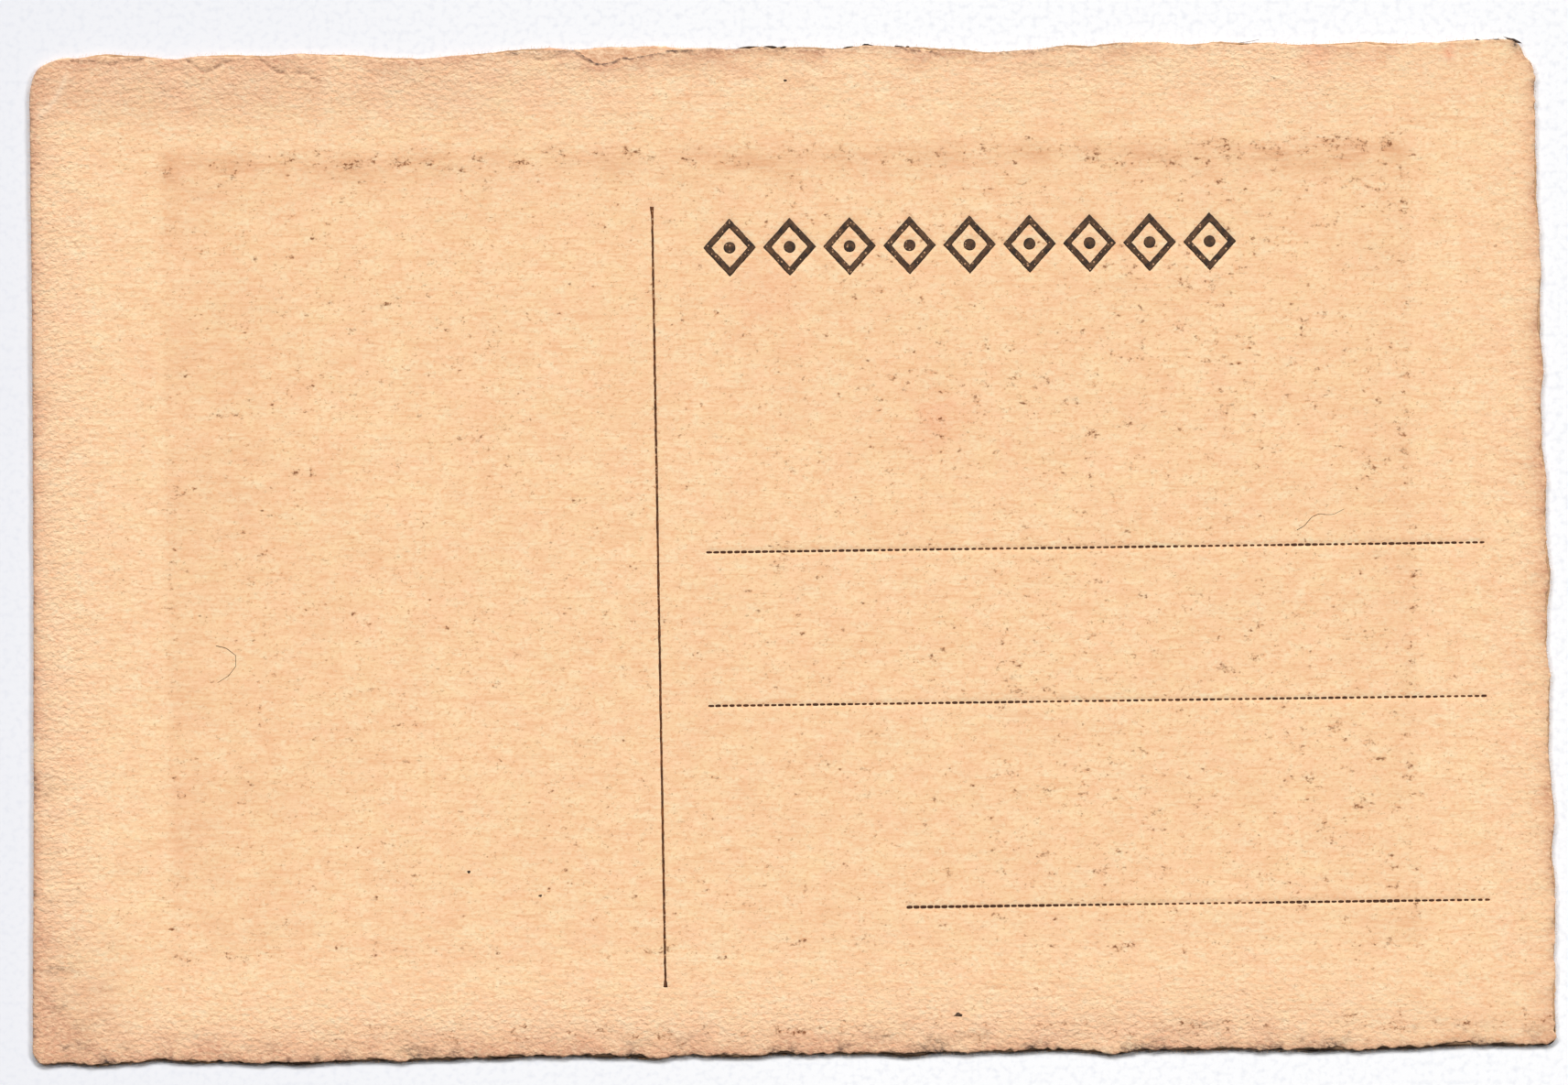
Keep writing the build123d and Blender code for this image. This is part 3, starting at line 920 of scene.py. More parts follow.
def paper_finish(name):
    """The finish of a facing, which reads the masks that are stored on it."""
    paper = Finish(name, roughness=0.93, gloss=0.1)
    clouds = paper.noise((3.4, 2.4, 3.4), detail=4.0, rough=0.7)
    tone = paper.mix(paper.span(clouds, 0.32, 0.68), WARM, ROSY)
    for waves, settings, steps, colour in PAPER_LAYERS.values():
        tone = paper.mix(paper.span(paper.noise(waves, **settings), *steps), tone, colour)
    streaky = paper.noise((3.2, 0.4, 3.2), warp=0.5, turn=2.0, shift=13)
    ghost = paper.product(paper.painted("ghost"), paper.span(streaky, 0.34, 0.66, 0.2, 0.72))
    tone = paper.mix(ghost, tone, GHOST)
    hollows = paper.noise((0.5, 0.3, 0.5), detail=3.0, rough=0.7, turn=-18.0, shift=11)
    # brown toning, with the painted shade of the creases in it
    toning_and_shade_amount = paper.product(paper.painted("toning"), paper.span(hollows, 0.34, 0.66, 0.25, 0.95))
    tone = paper.mix(toning_and_shade_amount, tone, TONED_AND_SHADED)
    tone = paper.mix(paper.product(paper.painted("worn"), 0.16), tone, HANDLED)
    tone = paper.mix(paper.painted("blush"), tone, BLUSH)
    clusters = paper.noise((1.1, 0.85, 1.1), rough=0.6, shift=4)
    crowd = paper.maths("ADD", clusters, paper.span(paper.painted("strike"), 0.0, 1.0, -0.16, 0.14))
    crowd = paper.span(crowd, 0.55, 0.66)
    grit = paper.span(paper.noise((0.36, 0.28, 0.36), rough=0.65, shift=5), 0.46, 0.64)
    tone = paper.mix(paper.product(crowd, 0.22), tone, GHOST)
    tone = paper.mix(paper.product(paper.product(crowd, grit), 0.85), tone, STRUCK)
    lone = paper.span(paper.noise((0.62, 0.5, 0.62), rough=0.6, shift=6), 0.72, 0.8, 0.0, 0.55)
    tone = paper.mix(lone, tone, STRUCK)
    # grey dirt and painted shade
    dirt_and_shade = paper.product(paper.painted("grime"), paper.span(hollows, 0.4, 0.62, 0.3, 1.2))
    tone = paper.mix(dirt_and_shade, tone, GRIME_AND_SHADE)
    # pale painted highlight along the head lip, and the rubbed pale fold
    tone = paper.mix(paper.painted("bare"), tone, BARE_AND_HIGHLIGHT)
    felt = paper.noise((0.52, 0.42, 0.52), rough=0.6, warp=0.3, turn=8.0, shift=8)
    rise = paper.span(paper.painted("worn"), 0.0, 1.0, 0.8, 20.0)
    paper.bump(paper.product(felt, rise), 0.008)
    return paper.colour(tone)


address_paper = paper_finish("address_paper")
print("paper finish nodes:", len(address_paper.node_tree.nodes))

# %% [markdown]
# ## Closing the sheet
# A facing is a thin solid: the modelled face, a wall down from its torn edge, and a plain back that is
# glued to the core and never seen. The back is filled from the same ring of points, so the sheet is
# closed and has no loose edges.

# %% Sheets of paper
def new_piece(name, places, faces, material):
    """A smooth mesh object at the origin, from points in mm, that rides on the card's one body."""
    mesh = bpy.data.meshes.new(name)
    mesh.from_pydata((np.asarray(places) * MM).tolist(), [], faces)
    mesh.polygons.foreach_set("use_smooth", np.ones(len(mesh.polygons), bool))
    mesh.materials.append(material)
    piece = bpy.data.objects.new(name, mesh)
    bpy.context.scene.collection.objects.link(piece)
    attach(piece, "root")
    return piece


def store_masks(piece, masks):
    """Stores each mask on the mesh. Points past its end, on the wall and the back, get no mark."""
    for name, mask in masks.items():
        layer = piece.data.attributes.new(name, "FLOAT", "POINT")
        values = np.zeros(len(piece.data.vertices), np.float32)
        values[: len(mask)] = mask
        layer.data.foreach_set("value", values)


def at_level(places, level):
    return np.column_stack([places, np.full(len(places), level)])


def wall(count, first, second):
    """Faces between two rings of points, looking outwards where the first ring is the upper one."""
    following = [(index + 1) % count for index in range(count)]
    return [(first + i, second + i, second + j, first + j) for i, j in enumerate(following)]


def turned_over(faces):
    return [tuple(reversed(face)) for face in faces]


def shifted(faces, by):
    return [tuple(index + by for index in face) for face in faces]


def sheet(face_places, face_faces, heights, ring_count, back_level):
    """Points and faces of a closed sheet whose modelled face looks up."""
    ring = face_places[:ring_count]
    back, back_faces = filled(ring, np.empty((0, 2)))
    offset = len(face_places)
    faces = [tuple(face) for face in face_faces]
    faces += wall(ring_count, 0, offset)
    faces += turned_over(shifted(back_faces, offset))
    return np.vstack([np.column_stack([face_places, heights]), at_level(back, back_level)]), faces


places, faces = sheet(address_places, address_faces, address_height, len(torn_edge), ADDRESS_BACK)
address_facing = new_piece("address_facing", places, faces, address_paper)
store_masks(address_facing, address_masks)
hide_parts("address_side_ply")
print("address facing:", len(faces), "faces")

# %% [markdown]
# ## The picture facing
# The other side carries the picture. Its facing is made the same way, but its face looks down, so it is
# built looking up and then turned over. The picture's plate has pressed a shallow rectangle into it, and
# the picture's inks lie in there and hide its floor, so only the margins need a fine mesh.

# %% Picture facing
PLATE_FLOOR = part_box("picture_border")[1].z / MM
PLATE_CLEAR = 0.001
PLATE_RAMP = 0.1
COARSE_BRICK = (4.0, 4.0)
MARGIN_BRICK = (0.9, 0.5)
MARGIN_CLEAR = 0.3
PANEL_CLEAR = 2.0
PLATE_STEP = 0.5
UNDERSIDE_TOOTH = 0.35
UNDERSIDE_SHIFT = 200.0


def rectangle(low, high, step):
    corners = np.array([(low[0], low[1]), (high[0], low[1]), (high[0], high[1]), (low[0], high[1])])
    return even_steps(corners, step)[0]


def picture_heights(places, gap):
    """Heights above the table, which nothing reaches below."""
    lip = np.interp(gap, *zip(*LIP_PROFILE))
    pressed = smooth(plate_gap(places), -PLATE_RAMP, 0.0)
    relief = UNDERSIDE_TOOTH * tooth(places + UNDERSIDE_SHIFT, gap) * (1 - pressed)
    depth = pressed * (PLATE_FLOOR + PLATE_CLEAR - PICTURE_LEVEL)
    return np.maximum(PICTURE_LEVEL + TOOTH_ROOM + lip + depth - relief, PICTURE_LEVEL)


picture_edge, picture_run = even_steps(face_loops("picture_side_ply", PICTURE_LEVEL)[0], EDGE_STEP)
picture_edge = nicked(picture_edge)
picture_torn, *picture_lip = torn_rings(picture_edge, picture_run, seed=61)
margin = bricks(card_low[:2], card_high[:2], MARGIN_BRICK, seed=62)
margin = margin[(edge_distance(margin, picture_edge) > BRICK_MARGIN) & (plate_gap(margin) < -MARGIN_CLEAR)]
panel = bricks(PLATE_LOW + PANEL_CLEAR, PLATE_HIGH - PANEL_CLEAR, COARSE_BRICK, seed=63)
plate_rows = [rectangle(PLATE_LOW - gap, PLATE_HIGH + gap, PLATE_STEP) for gap in (0.0, PLATE_RAMP)]
picture_inner = np.vstack([*picture_lip, margin, panel, *plate_rows])
picture_places, picture_faces = filled(picture_torn, picture_inner)
picture_gap = edge_distance(picture_places, picture_torn)
picture_height = picture_heights(picture_places, picture_gap)
places, faces = sheet(picture_places, picture_faces, picture_height, len(picture_torn), PICTURE_BACK)
picture_paper = paper_finish("picture_paper")
picture_facing = new_piece("picture_facing", places, turned_over(faces), picture_paper)
store_masks(picture_facing, {
    "toning": toning_mask(picture_places, picture_gap),
    "grime": 0.6 * grime_mask(picture_places, picture_gap),
    "bare": lip_highlight_and_fold_mask(picture_places, picture_gap),
    "worn": worn_mask(picture_places, picture_gap),
})
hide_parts("picture_side_ply")
print("picture facing:", len(faces), "faces")

# %% [markdown]
# ## The board's core
# Between the facings is a thicker ply of felted fibres. Only its torn edge shows, as layers of ragged
# fibre in a wall a quarter of a millimetre high, and a little of its top where a flake of the facing is
# gone. The wall has several rows of points, and each row is frayed with noise of its own, so that the
# layers stand out unevenly.

# %% Core
CORE_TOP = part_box("core_ply")[1].z / MM
CORE_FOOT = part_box("core_ply")[0].z / MM
CORE_ROWS = 7
CORE_FRAY = 0.09
CORE_TEETH = ((0.5, (0.9, 0.06)), (0.5, (0.45, 0.045)))
CORE_BACK = 0.4
CORE_INSETS = (0.2, 0.5, 1.0, 1.8, 3.0)
CORE_MIDDLE = 5.0


def layered(ring, run, level, seed):
    """One row of the torn wall."""
    teeth = grains(np.column_stack([run, np.full(len(run), level)]), CORE_TEETH, seed)
    return ring + outward(ring) * (CORE_FRAY * (teeth - CORE_BACK))[:, None]


def core_cap(ring, base_ring):
    """The flat side of the core, with rings of points close to its edge."""
    rings = [base_ring - outward(base_ring) * inset for inset in CORE_INSETS]
    middle = bricks(card_low[:2] + CORE_MIDDLE, card_high[:2] - CORE_MIDDLE, COARSE_BRICK, seed=71)
    return filled(ring, np.vstack([*rings, middle]))


core_edge, core_run = even_steps(face_loops("core_ply", CORE_TOP)[0], EDGE_STEP)
core_edge = nicked(core_edge)
levels = np.linspace(CORE_TOP, CORE_FOOT, CORE_ROWS)
rows = [layered(core_edge, core_run, level, seed=72) for level in levels]
top_places, top_faces = core_cap(rows[0], core_edge)
foot_places, foot_faces = core_cap(rows[-1], core_edge)
count = len(core_edge)
core_points = [at_level(top_places, CORE_TOP)]
core_points += [at_level(row, level) for row, level in zip(rows[1:-1], levels[1:-1])]
core_points.append(at_level(foot_places, CORE_FOOT))
starts = np.cumsum([0] + [len(points) for points in core_points[:-1]]).tolist()
core_faces = [tuple(face) for face in top_faces]
for upper, lower in zip(starts[:-1], starts[1:]):
    core_faces += wall(count, upper, lower)
core_faces += turned_over(shifted(foot_faces, starts[-1]))
core_points = np.vstack(core_points)
print("torn core:", len(core_faces), "faces")

# %% [markdown]
# ## The finish of the core
# The wall is dusty. A dark painted shade with some soot lies on it, strongest along the foot, where the
# lamp leaves the torn edge in shadow, and weaker along the head and towards the right. At the flake the
# top of the core is fresh and paler than the facing. The noise is stretched along X and squeezed in
# height, so that the wall reads as layers of fibre.

# %% Core finish
CORE_DEEP = srgb(196, 148, 108)
CORE_PALE = srgb(247, 203, 160)
CORE_DUSTY = srgb(156, 114, 84)
SOOT_AND_SHADE = srgb(52, 40, 34)
FLAKE_PALE = srgb(255, 216, 178)
FLAKE_DEEP = srgb(219, 164, 127)

x, y, z = core_points.T
# painted shade with some soot: the foot's torn edge is darkened as if in shadow
soot = near(y - card_foot, 4.0) * (0.9 + 0.3 * grain(core_points[:, :2], 1.3, 74))
# darker towards the right side
soot += 0.15 * near(card_right - x, 4.0)
# painted shade on the head's torn edge, which the lamp lights
soot += (0.2 + 0.2 * middle_of_head(x)) * near(card_head - y, 3.0)
fresh = smooth(y, HEAD_FROM, HEAD_FROM + 1.0) * (z > CORE_TOP - 0.01)
fresh = fresh * near(abs(x - FLAKE_MIDDLE) - 6.5, 2.0)
board_core = Finish("board_core", roughness=0.96, gloss=0.06)
felt = board_core.noise((0.5, 0.12, 0.05), detail=3.0, rough=0.6, warp=0.4)
tone = board_core.mix(board_core.span(felt, 0.3, 0.72), CORE_DEEP, CORE_PALE)
dust = board_core.span(board_core.noise(1.1, shift=1), 0.5, 0.75, 0.0, 0.55)
tone = board_core.mix(dust, tone, CORE_DUSTY)
# dark painted shade and soot on the wall
tone = board_core.mix(board_core.painted("soot"), tone, SOOT_AND_SHADE)
pulp = board_core.noise((0.6, 0.36, 0.6), detail=3.0, rough=0.7, warp=0.4, shift=3)
flaked = board_core.mix(board_core.span(pulp, 0.34, 0.64), FLAKE_PALE, FLAKE_DEEP)
tone = board_core.mix(board_core.painted("fresh"), tone, flaked)
board_core.bump(board_core.noise((0.3, 0.3, 0.05), shift=2), 0.06)
core_piece = new_piece("torn_core", core_points, core_faces, board_core.colour(tone))
store_masks(core_piece, {"soot": np.clip(soot, 0, 0.95), "fresh": fresh})
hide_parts("core_ply")
print("core finish nodes:", len(board_core.tree.nodes))

# %% [markdown]
# ## A kit for repeated pieces
# Loose fibres and printed beads repeat along a line, which is work for Geometry Nodes. The small class
# below does for such trees what the finish kit does for materials. It names the inputs, runs the finished
# tree once and hands back a plain mesh without a modifier.

# %% Recipes
class Recipe(NodeKit):
    """A Geometry Nodes tree with named inputs."""

    def __init__(self, name, **inputs):
        self.tree = bpy.data.node_groups.new(name, "GeometryNodeTree")
        sockets = self.tree.interface
        kinds = {"Geometry": "Geometry", **inputs}
        self.keys = {}
        for label, kind in kinds.items():
            socket = sockets.new_socket(label, in_out="INPUT", socket_type="NodeSocket" + kind)
            self.keys[label] = socket.identifier
        sockets.new_socket("Geometry", in_out="OUTPUT", socket_type="NodeSocketGeometry")
        self.given = self.tree.nodes.new("NodeGroupInput").outputs

    def luck(self, low, high, step=0):
        """A random vector for each point. Each step has numbers of its own."""
        inputs = {0: low, 1: high, "Seed": self.maths("ADD", self.given["Seed"], float(step))}
        return self.add("FunctionNodeRandomValue", inputs, data_type="FLOAT_VECTOR")[0]

    def vector(self, operation, first, second):
        return self.add("ShaderNodeVectorMath", {0: first, 1: second}, operation=operation)[0]

    def scaled(self, vector, scale):
        return self.add("ShaderNodeVectorMath", {0: vector, "Scale": scale}, operation="SCALE")[0]

    def end(self, geometry):
        """Ends the tree with the material that its input Finish holds."""
        inputs = {"Geometry": geometry, "Material": self.given["Finish"]}
        done = self.add("GeometryNodeSetMaterial", inputs)[0]
        self.add("NodeGroupOutput", {"Geometry": done})

    def make(self, name, mesh, slot, **values):
        """Runs the tree on a mesh and keeps what comes out as a plain piece of the card."""
        piece = bpy.data.objects.new(name, mesh)
        bpy.context.scene.collection.objects.link(piece)
        modifier = piece.modifiers.new(name, "NODES")
        modifier.node_group = self.tree
        for label, value in values.items():
            modifier[self.keys[label]] = value
        seen = piece.evaluated_get(bpy.context.evaluated_depsgraph_get())
        plain = bpy.data.meshes.new_from_object(seen)
        piece.modifiers.remove(modifier)
        piece.data = plain
        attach(piece, "root")
        return piece


print("recipe kit:", ", ".join(name for name in vars(Recipe) if not name.startswith("_")))

# %% [markdown]
# ## Fibres of the torn edge
# Torn board ends in loose fibres that stick out a few tenths of a millimetre. A line becomes a curve, the
# curve becomes points, and each point carries a thin bent strand. The strand looks outwards, with some
# luck in its direction, length and height, so that no two are alike.

# %% Fibre recipe
FIBRE_LEAN = ((-0.8, -0.8, -0.05), (0.8, 0.8, 0.12))
FIBRE_SIZES = ((0.3, 0.8, 0.8), (1.0, 1.2, 1.2))
FIBRE_BEND = (0.5, 0.18, 0.0)
FIBRE_END = (1.0, -0.06, 0.08)
FIBRE_STEPS = 4
FIBRE_SIDES = 3
UPWARD = (0.0, 0.0, 1.0)

recipe = Recipe("deckle_fibres", Count="Int", Length="Float", Radius="Float", Spread="Float", Seed="Int",
                Finish="Material")
path = recipe.add("GeometryNodeMeshToCurve", {"Mesh": recipe.given["Geometry"]})[0]
inputs = {"Curve": path, "Count": recipe.given["Count"]}
spots = recipe.add("GeometryNodeCurveToPoints", inputs, mode="COUNT")
lift = recipe.scaled(recipe.luck((0.0, 0.0, -1.0), UPWARD), recipe.given["Spread"])
roots = recipe.add("GeometryNodeSetPosition", {"Geometry": spots["Points"], "Offset": lift})[0]
out = recipe.vector("CROSS_PRODUCT", spots["Tangent"], UPWARD)
way = recipe.vector("ADD", out, recipe.luck(*FIBRE_LEAN, 1))
turn = recipe.add("FunctionNodeAlignRotationToVector", {"Vector": way}, axis="X")[0]
inputs = {
    "Resolution": FIBRE_STEPS,
    "Start": (0.0, 0.0, 0.0),
    "Middle": recipe.scaled(FIBRE_BEND, recipe.given["Length"]),
    "End": recipe.scaled(FIBRE_END, recipe.given["Length"]),
}
strand = recipe.add("GeometryNodeCurveQuadraticBezier", inputs)[0]
inputs = {"Resolution": FIBRE_SIDES, "Radius": recipe.given["Radius"]}
section = recipe.add("GeometryNodeCurvePrimitiveCircle", inputs, mode="RADIUS")[0]
inputs = {"Curve": strand, "Profile Curve": section, "Fill Caps": True}
tube = recipe.add("GeometryNodeCurveToMesh", inputs)[0]
inputs = {"Points": roots, "Instance": tube, "Rotation": turn, "Scale": recipe.luck(*FIBRE_SIZES, 2)}
fringe = recipe.add("GeometryNodeInstanceOnPoints", inputs)[0]
recipe.end(recipe.add("GeometryNodeRealizeInstances", {"Geometry": fringe})[0])
print("fibre recipe nodes:", len(recipe.tree.nodes))

# %% [markdown]
# ## Growing the fibres
# The fibres grow from the middle row of the core's wall, all round the card. That row goes into the tree
# as a mesh of edges only, and comes back as one mesh of strands in the pale tones of the core.

# %% Deckle fibres
FIBRE_COUNT = 1500
FIBRE_LENGTH = 0.34
FIBRE_RADIUS = 0.013
FIBRE_SPREAD = 0.09
FIBRE_DEEP = srgb(206, 160, 122)
FIBRE_PALE = srgb(252, 216, 178)

fibre = Finish("loose_fibre", roughness=0.95, gloss=0.06)
tone = fibre.mix(fibre.noise(1.4), FIBRE_DEEP, FIBRE_PALE)
ring_mesh = bpy.data.meshes.new("core_ring")
ring_edges = [(index, (index + 1) % count) for index in range(count)]
ring_points = at_level(rows[CORE_ROWS // 2], (CORE_TOP + CORE_FOOT) / 2) * MM
ring_mesh.from_pydata(ring_points.tolist(), ring_edges, [])
deckle_fibres = recipe.make(
    "deckle_fibres", ring_mesh, "board_core",
    Count=FIBRE_COUNT, Length=FIBRE_LENGTH * MM, Radius=FIBRE_RADIUS * MM, Spread=FIBRE_SPREAD * MM,
    Seed=5, Finish=fibre.colour(tone),
)
print("deckle fibres:", len(deckle_fibres.data.polygons), "faces")

# %% [markdown]
# ## Printing ink
# The press squeezes letterpress ink to the rim of the type, so a printed shape is darkest along its
# outline and mottled within, with pinholes where the paper shows. A mask on the film says how full the
# ink lies. The thin rules and beads were inked less, and have a browner ink of their own.

# %% Ink finish
INK_FULL = srgb(40, 28, 20)
INK_WORN = srgb(98, 70, 48)
LINE_FULL = srgb(58, 30, 10)
LINE_WORN = srgb(128, 74, 34)
PINHOLE = srgb(212, 166, 126)


def ink_finish(name, full, worn_out):
    """A finish that runs from full ink to worn ink, and reads the mask called full."""
    ink = Finish(name, roughness=0.7, gloss=0.25)
    mottle = ink.span(ink.noise(0.6, detail=3.0, rough=0.65), 0.36, 0.64)
    worn = ink.product(mottle, ink.span(ink.painted("full"), 0.0, 1.0, 1.0, 0.12))
    tone = ink.mix(worn, full, worn_out)
    thin = ink.span(ink.painted("full"), 0.0, 0.8, 0.9, 0.0)
    bare = ink.product(ink.specks(cell=0.34, radius=0.12, share=0.3, shift=1), thin)
    ink.bump(ink.noise(0.2, shift=2), 0.008)
    return ink.colour(ink.mix(bare, tone, PINHOLE))


letterpress_ink = ink_finish("letterpress_ink", INK_FULL, INK_WORN)
line_ink = ink_finish("line_ink", LINE_FULL, LINE_WORN)
print("ink finish nodes:", len(letterpress_ink.node_tree.nodes))

# %% [markdown]
# ## Printed films
# Ink is a film a few hundredths of a millimetre thick that lies in its dent. The outlines come from the
# CAD model. They are resampled, made a little ragged and filled with triangles, and the sheet of
# triangles is closed into a thin solid with a rounded rim.

# %% Films
FILM_STEP = 0.11
FILM_RAGGED = 0.03
FILM_TEETH = ((0.6, (0.5, 1.0)), (0.4, (0.22, 1.0)))
LOOPS_APART = 3.0
FILM_INSET = 0.07
FILM_THICKNESS = 0.017
FILM_AT_RIM = 0.6
FILM_ROUND = 0.08
FILM_RIM = 0.17
FILM_PATCHES = ((1.0, 2.6), (1.0, 0.8))


def closed_film(places, faces, top, bottom):
    """Points and faces of a film over flat triangles. Sides that only one triangle has get a wall."""
    faces = [tuple(face) for face in faces]
    sides = {(start, end) for face in faces for start, end in zip(face, face[1:] + face[:1])}
    rim = sorted(side for side in sides if side[::-1] not in sides)
    count = len(places)
    walls = [(end, start, start + count, end + count) for start, end in rim]
    points = np.vstack([np.column_stack([places, top]), at_level(places, bottom)])
    return points, faces + turned_over(shifted(faces, count)) + walls


def printed_film(name, node, material, inked, seed):
    """The film of ink of a CAD node, between its own outlines. How well it was inked runs from 0 to 1."""
    rings = []
    for index, loop in enumerate(print_loops[node]):
        ring, run = even_steps(loop, FILM_STEP)
        ragged = grains(np.column_stack([run, np.full(len(run), LOOPS_APART * index)]), FILM_TEETH, seed)
        rings.append(ring + outward(ring) * (FILM_RAGGED * ragged)[:, None])
    low, high = (np.array(corner)[:2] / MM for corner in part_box(node))
    inner = bricks(low, high, (FILM_STEP, FILM_STEP), seed + 2)
    inner = inner[print_distance(inner) < -FILM_INSET]
    starts = np.cumsum([0] + [len(ring) for ring in rings]).tolist()
    outlines = [list(range(start, end)) for start, end in zip(starts[:-1], starts[1:])]
    flat = [Vector(place) for place in np.vstack([*rings, inner]).tolist()]
    spots, _, faces, *_ = delaunay_2d_cdt(flat, [], outlines, 2, FILL_SLACK)
    places, faces = used_only(spots, faces)
    depth = -print_distance(places)
    rise = FILM_AT_RIM + (1 - FILM_AT_RIM) * smooth(depth, 0.0, FILM_ROUND)
    points, faces = closed_film(places, faces, PRINT_FLOOR + FILM_THICKNESS * rise, PRINT_FLOOR)
    piece = new_piece(name, points, faces, material)
    patches = smooth(grains(places, FILM_PATCHES, seed + 3), -1.2, 0.6)
    store_masks(piece, {"full": (1 - (1 - inked) * patches) * near(depth, FILM_RIM)})
    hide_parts(node)
    print(name + ":", len(faces), "faces")


printed_film("printed_rule", "divider_rule", line_ink, inked=0.1, seed=81)
printed_film("printed_lozenges", "headpiece_lozenges", letterpress_ink, inked=1.0, seed=84)
printed_film("printed_dots", "headpiece_dots", letterpress_ink, inked=1.0, seed=87)

# %% [markdown]
# ## Beaded address lines
# An address line is a strip of type with a row of short beads cast on it. The strip is worn, so the beads
# print heavier in some stretches than in others, and at one end of the lowest line the ink has nearly
# closed the gaps. The tree repeats one bead along a line, gives each its own weight and makes the
# outlines ragged.

# %% Bead recipe
BEAD_WEIGHTS = (0.92, 1.24)
BEAD_LUCK = ((0.96, 0.8, 1.0), (1.16, 1.04, 1.0))
BEAD_LEAST = (0.7, 0.6, 1.0)
BEAD_MOST = (1.36, 1.4, 1.0)
RAGGED_WAVE = 0.22
NOISE_MIDDLE = (0.5, 0.5, 0.5)
SIDEWAYS = (2.0, 2.0, 0.0)
WEAR_WAVE = 9.0
WEAR_SPAN = (0.36, 0.64)
FULL_SPAN = (0.75, 1.1)
HEAVY_BEADS = 34.0
BLOT_BEADS = 3.0
BLOT_WEIGHT = 1.4

recipe = Recipe("beaded_line", Count="Int", Start="Vector", Pitch="Vector", Heavy="Float", Blot="Float",
                Ragged="Float", Seed="Int", Finish="Material")
inputs = {
    "Count": recipe.given["Count"],
    "Start Location": recipe.given["Start"],
    "Offset": recipe.given["Pitch"],
}
row = recipe.add("GeometryNodeMeshLine", inputs, mode="OFFSET", count_mode="TOTAL")[0]
here = recipe.add("GeometryNodeInputPosition", {})[0]
inputs = {"Vector": here, "W": recipe.given["Seed"], "Scale": 1 / (WEAR_WAVE * MM), "Detail": 2.0}
wear = recipe.add("ShaderNodeTexNoise", inputs, noise_dimensions="4D")["Fac"]
weight = recipe.span(wear, *WEAR_SPAN, *BEAD_WEIGHTS)
place = recipe.add("GeometryNodeInputIndex", {})[0]
weight = recipe.product(weight, recipe.span(place, 0.0, HEAVY_BEADS, recipe.given["Heavy"], 1.0))
away = recipe.maths("SUBTRACT", place, recipe.given["Blot"])
away = recipe.add("ShaderNodeMath", {0: away}, operation="ABSOLUTE")[0]
weight = recipe.product(weight, recipe.span(away, 0.0, BLOT_BEADS, BLOT_WEIGHT, 1.0))
size = recipe.scaled(recipe.luck(*BEAD_LUCK), weight)
size = recipe.vector("MINIMUM", recipe.vector("MAXIMUM", size, BEAD_LEAST), BEAD_MOST)
inputs = {"Points": row, "Instance": recipe.given["Geometry"], "Scale": size}
beads = recipe.add("GeometryNodeInstanceOnPoints", inputs)[0]
inputs = {"Geometry": beads, "Name": "full", "Value": recipe.span(weight, *FULL_SPAN)}
beads = recipe.add("GeometryNodeStoreNamedAttribute", inputs, data_type="FLOAT", domain="INSTANCE")[0]
beads = recipe.add("GeometryNodeRealizeInstances", {"Geometry": beads})[0]
shake = recipe.add("ShaderNodeTexNoise", {"Scale": 1 / (RAGGED_WAVE * MM), "Detail": 1.0})["Color"]
shake = recipe.vector("MULTIPLY", recipe.vector("SUBTRACT", shake, NOISE_MIDDLE), SIDEWAYS)
inputs = {"Geometry": beads, "Offset": recipe.scaled(shake, recipe.given["Ragged"])}
recipe.end(recipe.add("GeometryNodeSetPosition", inputs)[0])
print("bead recipe nodes:", len(recipe.tree.nodes))

# %% [markdown]
# ## Printing the beads
# One bead is a small closed solid: its outline, the same outline higher up, and a smaller one on top that
# bevels the rim. The CAD model says where the first and the last bead of a line stand and how many there
# are, and the tree sets all of them between.

# %% Beaded lines
BEAD_SIDES = 12
BEAD_ROUND = 0.7
BEAD_BEVEL = ((1.0, 0.0), (1.0, 0.6), (0.7, 1.0))
BEAD_RAGGED = 0.035
NO_BLOT = -9.0


def stacked(rings):
    """Points and faces of a closed solid through rings of points, given from its foot upwards."""
    count = len(rings[0])
    last = (len(rings) - 1) * count
    faces = []
    for start in range(0, last, count):
        faces += wall(count, start + count, start)
    faces += [tuple(range(last, last + count)), tuple(reversed(range(count)))]
    return np.vstack(rings), faces


def bead_mesh(length, height):
    """One flat bead with a rounded outline and a bevelled rim."""
    angles = np.arange(BEAD_SIDES) * 2 * np.pi / BEAD_SIDES
    sides = [np.sign(wave) * abs(wave) ** BEAD_ROUND for wave in (np.cos(angles), np.sin(angles))]
    ring = np.column_stack(sides) * (length / 2, height / 2)
    points, faces = stacked([at_level(share * ring, rise * FILM_THICKNESS) for share, rise in BEAD_BEVEL])
    mesh = bpy.data.meshes.new("bead")
    mesh.from_pydata((points * MM).tolist(), [], faces)
    return mesh


